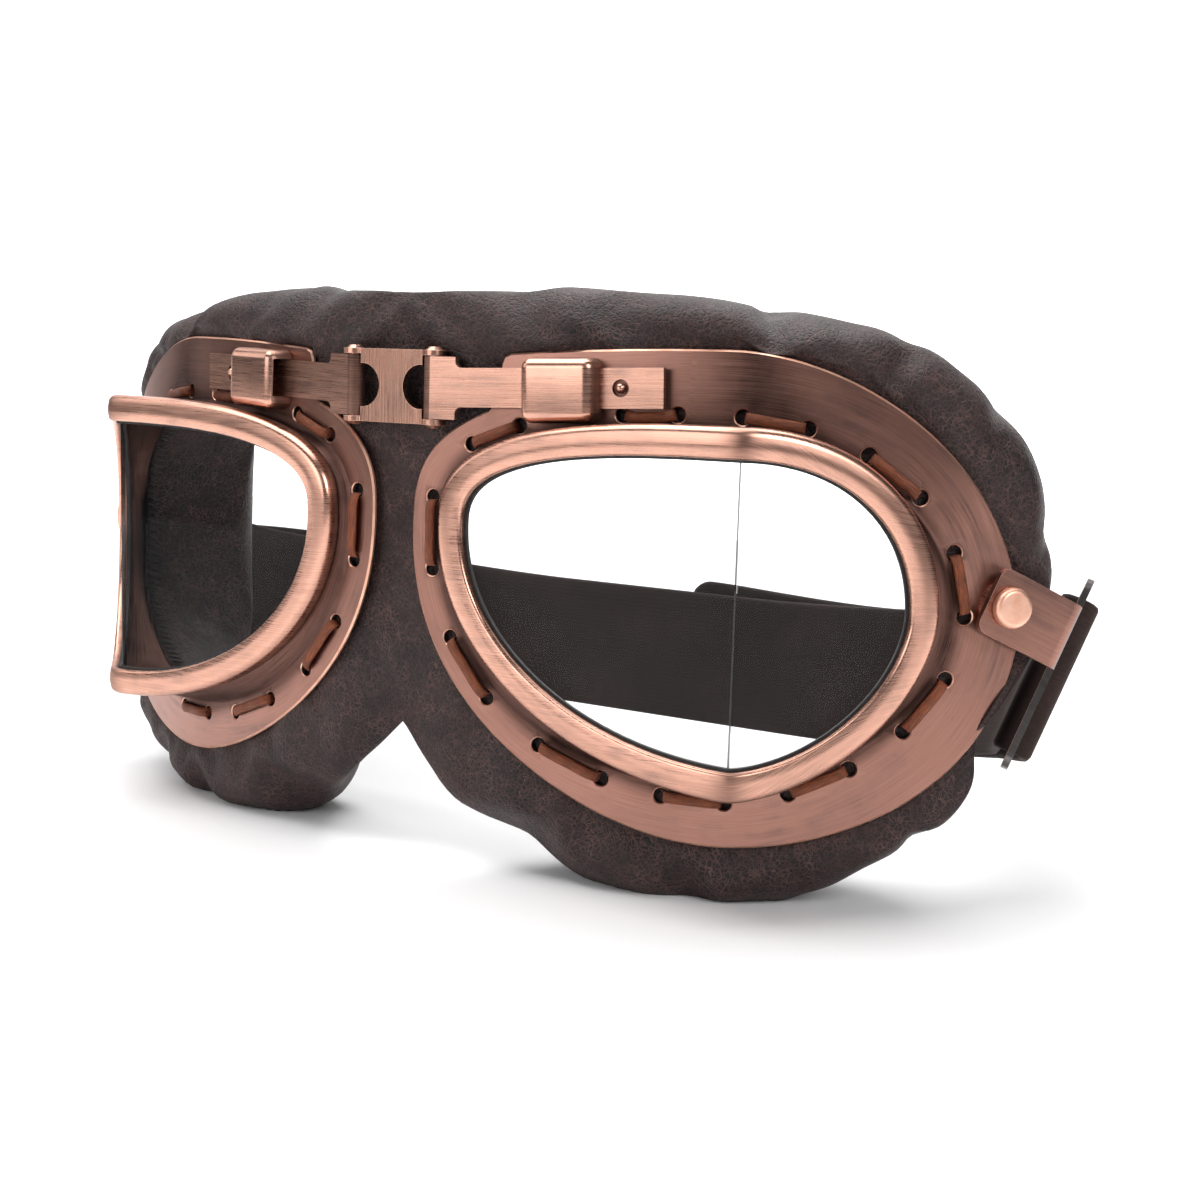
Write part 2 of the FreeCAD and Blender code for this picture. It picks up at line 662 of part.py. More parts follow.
def lens_gasket(folded, rim):
    """Rubber strip between the lip and the panes that shows inside the rim."""
    outer = -RIM_SKIRT_WALL - COLLAR_CLEARANCE - COLLAR_WALL - PANE_CLEARANCE
    inner = -RIM_WIDTH - GASKET_SHOW
    front = -RIM_LIP_THICKNESS
    back = front - GASKET_THICKNESS
    curves = [on_rim(folded, rim.grown(grow), lift)
              for grow, lift in ((outer, front), (inner, front), (inner, back), (outer, back))]
    return ring_solid(curves, [0.0, 0.5, 1.0])


def lens_pane(rim, start, end):
    """Flat pane on one side of the crease, mitred where it meets the other."""
    folded = FoldedSheet(PANE_BUTT_GAP / 2)
    loop = rim.grown(-RIM_SKIRT_WALL - COLLAR_CLEARANCE - COLLAR_WALL - PANE_CLEARANCE)
    front = -RIM_LIP_THICKNESS - GASKET_THICKNESS
    borders = []
    for lift in (front, front - PANE_THICKNESS):
        edge = stretch(on_rim(folded, loop, lift), start, end)
        seam = Part.makeLine(edge.lastVertex(True).Point, edge.firstVertex(True).Point)
        borders.append((edge, seam))
    faces = [Part.Face(Part.Wire(pair)) for pair in borders]
    faces += [Part.makeRuledSurface(a, b, FORWARD) for a, b in zip(*borders)]
    return sewn_solid(faces)


def rounded_path(points, radius):
    """Wire through points with its corners rounded."""
    edges = []
    start = points[0]
    for before, corner, after in zip(points, points[1:], points[2:]):
        into = (corner - before).normalize()
        onward = (after - corner).normalize()
        half_turn = into.getAngle(onward) / 2
        inset = radius * math.tan(half_turn)
        inward = (onward - into).normalize()
        middle = corner + inward * (radius / math.cos(half_turn) - radius)
        arc_start, arc_end = corner - into * inset, corner + onward * inset
        edges += [Part.makeLine(start, arc_start), Part.Arc(arc_start, middle, arc_end).toShape()]
        start = arc_end
    edges.append(Part.makeLine(start, points[-1]))
    return Part.Wire(edges)


def lace_stitch(sheet, first, second):
    """Lace that comes up one hole, lies over the plate and goes down the next."""
    over = [sheet.place(w, z, LACE_RADIUS + LACE_LIFT) for w, z in (first, second)]
    ends = [sheet.place(w, z, -PLATE_THICKNESS - LACE_TUCK) for w, z in (first, second)]
    path = rounded_path([ends[0]] + over + [ends[1]], LACE_BEND)
    profile = Part.Wire(Part.makeCircle(LACE_RADIUS, ends[0], over[0] - ends[0]))
    return path.makePipeShell([profile], True, False)


def lacing(sheet, holes):
    """Lace over every other gap between the holes."""
    stations = hole_stations(holes)
    pairs = zip(stations[0::2], stations[1::2])
    return Part.makeCompound([lace_stitch(sheet, a, b) for a, b in pairs])


def keeper(sheet):
    """Pillow-shaped box on the plate, open to the nose and closed at its far end but for the bar's slot."""
    front = -KNUCKLE_RADIUS - KEEPER_STAND
    deep = KEEPER_LENGTH
    half = KEEPER_HEIGHT / 2
    tunnel_half = BAR_WIDTH / 2 + BAR_SLIDE_CLEARANCE
    end = KEEPER_REACH + KEEPER_LENGTH
    shell = box(KEEPER_REACH, end, front, deep, KEEPER_RISE - half, KEEPER_RISE + half)
    rounds = [e for e in shell.Edges if min(v.Y for v in e.Vertexes) < front + EDGE_PICK]
    shell = shell.makeFillet(KEEPER_ROUND, rounds)
    hollow = box(0, end - KEEPER_WALL, front + KEEPER_WALL, deep, -tunnel_half, tunnel_half)
    slot = box(0, end, -KNUCKLE_RADIUS - BAR_SLIDE_CLEARANCE, deep, -tunnel_half, tunnel_half)
    shell = bar_frame(raised(shell.cut([hollow, slot])))
    return shell.cut(plate_front(sheet, SEAT_CLEARANCE))


def pad_cover(sheet, holes):
    """Leather-covered foam roll: crowned, drawn in behind the plate and wrinkled along its outside."""
    outer = EggLoop(PAD_NOSE_REACH, PAD_TEMPLE_REACH, PAD_TOP, PAD_BOTTOM, PAD_TEMPLE_LEVEL, PAD_POWERS)
    opening = holes.grown(-PAD_OPENING_INSET)
    front = PLATE_THICKNESS + PAD_FRONT_GAP
    reach = PAD_DEPTH - front

    def section(share, depth, wrinkle):
        """Loop at a share of the way from the opening to the outside, with its share of the wrinkles."""
        def curve(fraction, _start):
            a, b = opening.at(fraction), outer.at(fraction)
            ripple = PAD_WRINKLE_DEPTH * wrinkle * math.cos(2 * math.pi * PAD_WRINKLES * fraction)
            gap = math.hypot(b[0] - a[0], b[1] - a[1])
            part = share - ripple / gap
            return sheet.place(a[0] + (b[0] - a[0]) * part, a[1] + (b[1] - a[1]) * part, -depth)
        return curve

    pad = ring_solid([section(share, front + reach * depth, wrinkle) for share, depth, wrinkle in PAD_SECTION],
                     [0.0, 0.25, 0.5, 0.75, 1.0])
    pad = pad.cut(box(-PAD_NOSE_REACH, NOSE_PAD_HALF_WIDTH + NOSE_PAD_GAP, -PAD_NOSE_REACH, PAD_NOSE_REACH,
                      2 * PAD_BOTTOM, -2 * PAD_BOTTOM))
    return pad.cut(box(0, 2 * PAD_NOSE_REACH, -PAD_NOSE_REACH, 2 * PAD_NOSE_REACH, 2 * PAD_BOTTOM, TABLE))


def nose_pad():
    """Padded leather between the eyepieces: arched below over the nose and hollowed behind."""
    block = box(-NOSE_PAD_HALF_WIDTH, NOSE_PAD_HALF_WIDTH, NOSE_PAD_FRONT, PAD_DEPTH, NOSE_PAD_FOOT, NOSE_PAD_TOP)
    block = block.makeFillet(NOSE_PAD_ROUND, upright_edges(block, V(1, 0, 0)))
    arch = Part.makeCylinder(NOSE_ARCH_RADIUS, PAD_DEPTH, V(0, 0, NOSE_PAD_NOTCH - NOSE_ARCH_RADIUS), V(0, 1, 0))
    saddle = V(0, PAD_DEPTH - NOSE_SADDLE_DEPTH + NOSE_SADDLE_RADIUS, NOSE_PAD_FOOT)
    hollow = Part.makeCylinder(NOSE_SADDLE_RADIUS, NOSE_PAD_TOP - NOSE_PAD_FOOT, saddle)
    return block.cut([arch, hollow])


# Strap bracket: built with X along the tab, Y across it and Z out of the plate

def pivot_frame(sheet, shape, tilt):
    """Carry a piece from the pivot's own axes to its place, turned down by a tilt."""
    out = sheet.normal(PIVOT_REACH)
    level = V(-out.y, out.x, 0).normalize()
    along = level * math.cos(rad(tilt)) - out.cross(level) * math.sin(rad(tilt))
    return moved(shape, sheet.place(PIVOT_REACH, PIVOT_LEVEL, 0), along, out)


def pivot_washer(sheet):
    """Spacer between the plate and the bracket."""
    disc = Part.makeCylinder(WASHER_RADIUS, WASHER_THICKNESS)
    disc = disc.cut(Part.makeCylinder(PIVOT_SHANK_RADIUS + PIN_SEAT_CLEARANCE, WASHER_THICKNESS))
    return pivot_frame(sheet, disc, 0)


def pivot_rivet(sheet):
    """Button-headed rivet through bracket, washer and plate, its tail set into the plate's back."""
    tab_top = WASHER_THICKNESS + BRACKET_THICKNESS + 2 * TAB_GAP
    head = Part.makeCylinder(PIVOT_HEAD_RADIUS, PIVOT_HEAD_HEIGHT, V(0, 0, tab_top))
    rim_edge = next(e for e in head.Edges if e.BoundBox.ZMin > tab_top + EDGE_PICK)
    head = head.makeFillet(PIVOT_HEAD_ROUND, [rim_edge])
    shank = Part.makeCylinder(PIVOT_SHANK_RADIUS, tab_top + PLATE_THICKNESS, V(0, 0, -PLATE_THICKNESS))
    tail = Part.makeCylinder(PIVOT_TAIL_RADIUS, PIVOT_TAIL_HEIGHT, V(0, 0, -PLATE_THICKNESS))
    return pivot_frame(sheet, head.fuse([shank, tail]).removeSplitter(), 0)


def bracket_bend_end():
    """Where the bracket's bend ends, in its own X and Z, and the directions along and out of the loop there."""
    angle = rad(BRACKET_BEND)
    middle = WASHER_THICKNESS + TAB_GAP + BRACKET_THICKNESS / 2
    radius = BRACKET_BEND_RADIUS + BRACKET_THICKNESS / 2
    origin = V(TAB_OUTER + radius * math.sin(angle), -LOOP_DROP, middle - radius * (1 - math.cos(angle)))
    return origin, V(math.cos(angle), 0, -math.sin(angle)), V(math.sin(angle), 0, math.cos(angle))


def strap_bracket(sheet):
    """Tab on the pivot, bent back into a wide slotted loop for the strap."""
    low = WASHER_THICKNESS + TAB_GAP
    tab = box(-TAB_INNER, TAB_OUTER, -TAB_WIDTH / 2, TAB_WIDTH / 2, low, low + BRACKET_THICKNESS)
    inner = [e for e in upright_edges(tab, V(0, 0, 1)) if e.Vertexes[0].X < 0]
    tab = tab.makeFillet(TAB_ROUND, inner)
    pivot = V(TAB_OUTER, 0, low - BRACKET_BEND_RADIUS)
    section = Part.Face(Part.makePolygon([V(TAB_OUTER, y, z) for y, z in (
        (-TAB_WIDTH / 2, low), (TAB_WIDTH / 2, low), (TAB_WIDTH / 2, low + BRACKET_THICKNESS),
        (-TAB_WIDTH / 2, low + BRACKET_THICKNESS), (-TAB_WIDTH / 2, low))]))
    bend = section.revolve(pivot, V(0, 1, 0), BRACKET_BEND)
    origin, along, out = bracket_bend_end()
    half = BRACKET_THICKNESS / 2
    loop = box(0, LOOP_LENGTH, -LOOP_WIDTH / 2, LOOP_WIDTH / 2, -half, half)
    loop = loop.makeFillet(LOOP_ROUND, upright_edges(loop, V(0, 0, 1)))
    slot_start = LOOP_LENGTH - SLOT_BAR - SLOT_WIDTH
    loop = loop.cut(box(slot_start, slot_start + SLOT_WIDTH, -SLOT_LENGTH / 2, SLOT_LENGTH / 2, -half, half))
    loop = moved(loop, origin, along, out)
    bracket = tab.fuse([bend, loop]).removeSplitter()
    bracket = bracket.cut(Part.makeCylinder(PIVOT_SHANK_RADIUS + PIVOT_CLEARANCE, 2 * low, V(0, 0, 0)))
    return pivot_frame(sheet, bracket, BRACKET_TILT)


def strap_end_frame():
    """Middle of the bracket's outer bar, and the directions along and out of the loop there."""
    origin, along, out = bracket_bend_end()
    return origin + along * (LOOP_LENGTH - SLOT_BAR / 2), along, out


def strap_start(sheet):
    """Where the strap leaves its fold: its middle, the way it leads and the way across it."""
    origin, along, _ = strap_end_frame()
    start = origin + along * (STRAP_END_LENGTH + STRAP_JOIN_GAP)
    end, ahead, beside = (pivot_frame(sheet, Part.Vertex(p), BRACKET_TILT).Point
                          for p in (start, start + along, start + V(0, 1, 0)))
    return end, ahead - end, beside - end


def strap_line(sheet):
    """Points along the strap's middle from +X to -X, with the direction across it at each."""
    start, ahead, beside = strap_start(sheet)
    back = V(STRAP_BACK_HALF, STRAP_BACK_Y, STRAP_BACK_LEVEL)
    pull = (back - start).Length
    half = []
    for k in range(STRAP_SAMPLES):
        t = k / STRAP_SAMPLES
        point = (start * (1 - 3 * t ** 2 + 2 * t ** 3) + ahead * pull * (t - 2 * t ** 2 + t ** 3)
                 + back * (3 * t ** 2 - 2 * t ** 3) + V(-1, 0, 0) * pull * (t ** 3 - t ** 2))
        ease = t * t * (3 - 2 * t)
        across = beside * (1 - ease) + V(0, 0, 1) * ease
        half.append((point, across.normalize()))
    flat = [(V(back.x * (1 - k / STRAP_BACK_SAMPLES), back.y, back.z), V(0, 0, 1))
            for k in range(STRAP_BACK_SAMPLES)]
    right = half + flat
    left = [(V(-p.x, p.y, p.z), V(-a.x, a.y, a.z)) for p, a in reversed(right)]
    return right + [(V(0, back.y, back.z), V(0, 0, 1))] + left


def eased(value, start, length):
    """Smooth step from 0 before start to 1 after start plus length."""
    t = min(max((value - start) / length, 0.0), 1.0)
    return t * t * (3 - 2 * t)


def strap_band(sheet):
    """Elastic strap behind the head: doubled along its tails, and spread where it meets the two folds."""
    line = strap_line(sheet)
    spread = SLOT_BAR + 2 * STRAP_FOLD_GAP
    run = [0.0]
    for (a, _), (b, _) in zip(line, line[1:]):
        run.append(run[-1] + (b - a).Length)
    corners = [[], [], [], []]
    for index, (point, across) in enumerate(line):
        before, after = line[max(index - 1, 0)][0], line[min(index + 1, len(line) - 1)][0]
        inward = across.cross(after - before).normalize()
        single = eased(LONG_TAIL_END - point.x, 0, STRAP_HEM) * eased(point.x - SHORT_TAIL_END, 0, STRAP_HEM)
        near_end = 1 - eased(min(run[index], run[-1] - run[index]), 0, STRAP_MERGE)
        outer = STRAP_THICKNESS + spread / 2 * near_end
        inner = STRAP_THICKNESS * (1 - single) + spread / 2 * near_end
        edge = across * (STRAP_WIDTH / 2)
        for corner, offset in zip(corners, (edge - inward * outer, edge + inward * inner,
                                            edge * -1 + inward * inner, edge * -1 - inward * outer)):
            corner.append(point + offset)
    return strip_solid(corners, [value / run[-1] for value in run])


def strap_end(sheet):
    """Strap folded round the bracket's outer bar, both layers leading back."""
    origin, along, out = strap_end_frame()
    inner = SLOT_BAR / 2 + STRAP_FOLD_GAP
    outer = inner + STRAP_THICKNESS
    fold = Part.makeCylinder(outer, STRAP_WIDTH, V(0, -STRAP_WIDTH / 2, 0), V(0, 1, 0))
    fold = fold.fuse(box(0, STRAP_END_LENGTH, -STRAP_WIDTH / 2, STRAP_WIDTH / 2, -outer, outer))
    hollow = Part.makeCylinder(inner, STRAP_WIDTH, V(0, -STRAP_WIDTH / 2, 0), V(0, 1, 0))
    hollow = hollow.fuse(box(0, STRAP_END_LENGTH, -STRAP_WIDTH / 2, STRAP_WIDTH / 2, -inner, inner))
    fold = moved(fold.cut(hollow).removeSplitter(), origin, along, out)
    return pivot_frame(sheet, fold, BRACKET_TILT)


def main():
    """Build every piece and write it."""
    os.makedirs("parts", exist_ok=True)
    sheet = CurvedSheet()
    folded = FoldedSheet()
    holes = EggLoop(HOLE_NOSE_REACH, HOLE_TEMPLE_REACH, HOLE_TOP, HOLE_BOTTOM, HOLE_TEMPLE_LEVEL, HOLE_POWERS)
    rim = EggLoop(RIM_NOSE_REACH, RIM_TEMPLE_REACH, RIM_TOP, RIM_BOTTOM, RIM_TEMPLE_LEVEL, RIM_POWERS)
    pieces = {"bridge_link": bridge_link(), "nose_pad": nose_pad(), "strap_band": strap_band(sheet)}
    pin = hinge_pin()
    pieces["hinge_pins"] = Part.makeCompound([pin, mirrored(pin)])
    one_side = {
        "sliding_bar": sliding_bar(),
        "stop_stud": stop_stud(),
        "base_plate": base_plate(sheet, folded, holes, rim),
        "lens_rim": lens_rim(folded, rim),
        "lens_gasket": lens_gasket(folded, rim),
        "front_pane": lens_pane(rim, 0.0, 0.5),
        "side_pane": lens_pane(rim, 0.5, 1.0),
        "lacing": lacing(sheet, holes),
        "keeper": keeper(sheet),
        "pad": pad_cover(sheet, holes),
        "pivot_washer": pivot_washer(sheet),
        "pivot_rivet": pivot_rivet(sheet),
        "strap_bracket": strap_bracket(sheet),
        "strap_end": strap_end(sheet),
    }
    for name, shape in one_side.items():
        pieces["left_" + name] = shape
        pieces["right_" + name] = mirrored(shape)
    for name, shape in pieces.items():
        print(name, shape.isValid(), len(shape.Solids), round(shape.Volume, 1))
        placed = shape.copy()
        placed.translate(V(0, -MIDDLE_Y, -TABLE))
        placed.exportStep("parts/" + name + ".step")


main()
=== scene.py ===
"""Dress the goggles: brushed copper eyepieces, clear folded lenses, laced leather cushion and elastic strap.

Sizes are millimetres on the maker's bench, whose origin is the front middle of the bridge link, with +X to
the wearer's left, -Y to the front and +Z up. The Bench class carries them into the frame, in metres.
"""

import json
import logging
import math
from dataclasses import dataclass, replace
from enum import Enum
from functools import cached_property
from typing import Sequence

import bmesh
import bpy
import numpy as np
from mathutils import Matrix, Vector, noise

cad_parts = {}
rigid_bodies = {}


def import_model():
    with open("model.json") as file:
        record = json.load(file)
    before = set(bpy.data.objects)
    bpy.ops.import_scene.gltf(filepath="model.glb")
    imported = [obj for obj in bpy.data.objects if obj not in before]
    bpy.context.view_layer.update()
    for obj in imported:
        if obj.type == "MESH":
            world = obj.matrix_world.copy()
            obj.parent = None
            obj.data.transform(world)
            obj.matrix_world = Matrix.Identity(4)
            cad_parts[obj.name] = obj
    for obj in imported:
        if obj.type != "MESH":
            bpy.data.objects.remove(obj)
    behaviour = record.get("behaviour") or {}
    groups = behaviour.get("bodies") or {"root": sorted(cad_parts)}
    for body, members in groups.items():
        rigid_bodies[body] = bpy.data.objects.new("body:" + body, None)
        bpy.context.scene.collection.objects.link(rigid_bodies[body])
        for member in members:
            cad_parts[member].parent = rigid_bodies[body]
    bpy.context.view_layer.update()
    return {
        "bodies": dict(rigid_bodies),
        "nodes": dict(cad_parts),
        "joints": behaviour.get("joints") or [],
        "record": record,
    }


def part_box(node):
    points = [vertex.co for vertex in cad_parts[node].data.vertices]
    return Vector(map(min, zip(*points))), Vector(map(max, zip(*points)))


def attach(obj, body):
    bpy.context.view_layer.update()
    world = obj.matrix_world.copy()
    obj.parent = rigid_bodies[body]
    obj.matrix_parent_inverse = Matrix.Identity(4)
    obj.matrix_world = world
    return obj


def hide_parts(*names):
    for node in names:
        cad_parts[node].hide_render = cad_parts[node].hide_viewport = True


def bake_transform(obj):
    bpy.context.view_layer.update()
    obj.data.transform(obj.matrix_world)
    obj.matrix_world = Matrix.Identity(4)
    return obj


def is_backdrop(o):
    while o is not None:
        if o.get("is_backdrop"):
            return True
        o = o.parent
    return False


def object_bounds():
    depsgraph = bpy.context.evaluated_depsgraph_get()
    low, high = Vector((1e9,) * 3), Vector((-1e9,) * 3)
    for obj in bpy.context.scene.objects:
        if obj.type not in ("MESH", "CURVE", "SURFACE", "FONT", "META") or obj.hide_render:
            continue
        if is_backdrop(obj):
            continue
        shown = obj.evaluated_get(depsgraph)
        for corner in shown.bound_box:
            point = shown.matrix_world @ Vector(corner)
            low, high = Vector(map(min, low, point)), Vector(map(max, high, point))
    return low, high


MM = 0.001
LOG = logging.getLogger("goggles")

Array = np.ndarray
Triple = tuple[float, float, float]
Colour = Triple
Fractions = Array
Socket = bpy.types.NodeSocket
Material = bpy.types.Material
Mesh = bpy.types.Mesh
Piece = bpy.types.Object


class Side(Enum):
    """Which eyepiece a piece belongs to; the value is the sign of its X."""

    LEFT = 1
    RIGHT = -1

    @property
    def prefix(self) -> str:
        """Start of the names of this side's nodes and bodies."""
        return self.name.lower() + "_"

    @property
    def mirror(self) -> Array:
        """Factors that turn the left side's vectors into this side's."""
        return np.array([self.value, 1.0, 1.0])


def smooth(value: Array) -> Array:
    """Smooth step of values from 0 to 1."""
    t = np.clip(value, 0.0, 1.0)
    return t * t * (3.0 - 2.0 * t)


def unit(vectors: Array) -> Array:
    """Vectors brought to length one."""
    return vectors / np.linalg.norm(vectors, axis=-1, keepdims=True)


def run_along(points: Array) -> Array:
    """Distance along a line of points at each of them."""
    return np.concatenate([[0.0], np.cumsum(np.linalg.norm(np.diff(points, axis=0), axis=1))])


def closed(rows: Array, axis: int = 0) -> Array:
    """Rows or columns with the first of them again at the end."""
    return np.concatenate([rows, np.take(rows, [0], axis=axis)], axis=axis)


@dataclass(frozen=True)
class Bench:
    """The maker's bench: where its origin lies in the frame."""

    origin: Array

    EYE_PROUD = 1.0

    @classmethod
    def from_frame(cls) -> "Bench":
        """Find the bench's origin from the bridge link, whose pin eyes stand proud of its front."""
        low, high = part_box("bridge_link")
        return cls(np.array([0.0, low.y + cls.EYE_PROUD * MM, (low.z + high.z) / 2]))

    def to_frame(self, points: Array, side: Side = Side.LEFT) -> Array:
        """Carry points from the bench to the frame.

        Args:
            points: millimetres, any shape that ends in 3.
            side: the side they belong to; RIGHT mirrors them.

        Returns:
            Metres in the frame, in the same shape.
        """
        return np.asarray(points, float) * MM * side.mirror + self.origin


@dataclass(frozen=True)
class EggLoop:
    """Four superellipse quarters that are level where they meet at the lens crease.

    Fractions run from the crease top (0) past the nose (0.25) and the crease bottom (0.5) to the temple
    (0.75). Positions are (w, z): w runs along the sheet from the crease, negative to the nose.
    """

    nose: float
    temple: float
    top: float
    bottom: float
    temple_level: float
    powers: tuple[float, ...]

    NOSE_LEVEL = -20.5
    SAMPLES = 240

    @cached_property
    def tables(self) -> tuple[Array, Array, Array]:
        """Points round the loop, and the fraction and the distance at each."""
        t = np.linspace(0.0, 1.0, self.SAMPLES + 1)
        points, shares, lengths = [], [], [np.zeros(1)]
        for index, power in enumerate(self.powers):
            nose_half = index < 2
            reach, level = (-self.nose, self.NOSE_LEVEL) if nose_half else (self.temple, self.temple_level)
            far = self.top if index in (0, 3) else self.bottom
            angle = (t if index in (0, 2) else 1.0 - t) * math.pi / 2
            w = reach * np.abs(np.sin(angle)) ** (2.0 / power)
            z = level + (far - level) * np.abs(np.cos(angle)) ** (2.0 / power)
            points.append(np.column_stack([w, z]))
            run = run_along(points[-1])
            shares.append((index + run / run[-1]) / 4)
            lengths.append(run + lengths[-1][-1])
        return np.vstack(points), np.concatenate(shares), np.concatenate(lengths[1:])

    @property
    def length(self) -> float:
        """Length all the way round."""
        return float(self.tables[2][-1])

    def at(self, fractions: Fractions) -> Array:
        """Positions (w, z) at fractions of the loop."""
        points, shares, _ = self.tables
        f = np.mod(fractions, 1.0)
        return np.stack([np.interp(f, shares, points[:, k]) for k in (0, 1)], axis=-1)

    def fraction_at(self, distances: Array) -> Array:
        """Fractions at distances along the loop from the crease top, by way of the nose."""
        _, shares, lengths = self.tables
        return np.interp(np.mod(distances, self.length), lengths, shares)

    def run(self, fractions: Fractions) -> Array:
        """Distances along the loop at fractions from 0 to 1."""
        _, shares, lengths = self.tables
        return np.interp(fractions, shares, lengths)

    def grown(self, by: float) -> "EggLoop":
        """The loop moved outwards all round."""
        return replace(self, nose=self.nose + by, temple=self.temple + by, top=self.top + by,
                       bottom=self.bottom - by)

    def fraction_at_reach(self, w: float) -> float:
        """Fraction in the top nose quarter where the loop has come to w."""
        quarter = slice(0, self.SAMPLES + 1)
        points, shares, _ = self.tables
        return float(np.interp(-w, -points[quarter, 0], shares[quarter]))


@dataclass(frozen=True)
class CurvedSheet:
    """The base plate's front face: a gentle arc from the nose, a tighter one to the temple, leaning back."""

    nose_y: float = 0.63
    nose_heading: float = 1.2
    radius: float = 165.0
    temple_start: float = 25.0
    temple_radius: float = 34.0
    temple_heading: float = 50.0
    lean: float = 0.028
    lean_level: float = -29.0
    crease: float = 54.0

    def heading(self, w: Array) -> Array:
        """Directions of the face at w, in radians from +X towards +Y."""
        w = np.asarray(w, float)
        gentle = (np.minimum(w, self.temple_start) + self.crease) / self.radius
        tight = np.maximum(w - self.temple_start, 0.0) / self.temple_radius
        return np.minimum(math.radians(self.nose_heading) + gentle + tight, math.radians(self.temple_heading))

    def normal(self, w: Array) -> Array:
        """Unit vectors out of the front face at w."""
        h = self.heading(w)
        return unit(np.stack([np.sin(h), -np.cos(h), self.lean * np.cos(h)], axis=-1))

    def place(self, w: Array, z: Array, lift: Array | float = 0.0) -> Array:
        """Points at w and height z, lifted along the front normal.

        Args:
            w: distances along the sheet.
            z: heights.
            lift: distances out of the front face.

        Returns:
            Bench points, one row of three for each position.
        """
        w, z, lift = np.broadcast_arrays(np.asarray(w, float), z, lift)
        start, full = math.radians(self.nose_heading), math.radians(self.temple_heading)
        bend = self.heading(np.minimum(w, self.temple_start))
        tight = self.heading(np.full_like(w, self.temple_start))
        end = np.where(w > self.temple_start, self.heading(w), tight)
        beyond = np.maximum(w - self.temple_start - self.temple_radius * (full - tight), 0.0)
        x = self.radius * (np.sin(bend) - math.sin(start))
        x = x + self.temple_radius * (np.sin(end) - np.sin(tight)) + beyond * math.cos(full)
        y = self.radius * (math.cos(start) - np.cos(bend))
        y = y + self.temple_radius * (np.cos(tight) - np.cos(end)) + beyond * math.sin(full)
        y = y + self.nose_y + self.lean * (z - self.lean_level)
        return np.stack([x, y, z], axis=-1) + self.normal(w) * lift[..., None]


@dataclass(frozen=True)
class FoldedSheet:
    """The rim's front face: a front plane and a side plane that meet in a narrow rounded fold."""

    crease_x: float = 61.0
    crease_y: float = -1.0
    front_heading: float = 1.3
    side_heading: float = 46.0
    nose: float = 50.4
    temple: float = 30.1
    fold: float = 1.7

    def _flat(self, w: Array, z: Array, lift: Array) -> Array:
        """Points on the two planes, mitred at the crease."""
        half = math.radians(self.side_heading - self.front_heading) / 2
        shift = lift * math.tan(half)
        front = w <= 0
        heading = np.where(front, math.radians(self.front_heading), math.radians(self.side_heading))
        run = np.where(front, w + shift * (1 + w / self.nose), w - shift * (1 - w / self.temple))
        x = self.crease_x + run * np.cos(heading) + lift * np.sin(heading)
        y = self.crease_y + run * np.sin(heading) - lift * np.cos(heading)
        return np.stack([x, y, z], axis=-1)

    def place(self, w: Array, z: Array, lift: Array | float = 0.0) -> Array:
        """Points at w and height z, lifted out of the face, with the crease rounded."""
        w, z, lift = np.broadcast_arrays(np.asarray(w, float), z, lift)
        flat = self._flat(w, z, lift)
        t = ((w + self.fold) / (2 * self.fold))[..., None]
        start = self._flat(np.full_like(w, -self.fold), z, lift)
        corner = self._flat(np.zeros_like(w), z, lift)
        end = self._flat(np.full_like(w, self.fold), z, lift)
        curved = (1 - t) ** 2 * start + 2 * t * (1 - t) * corner + t ** 2 * end
        return np.where((np.abs(w) < self.fold)[..., None], curved, flat)


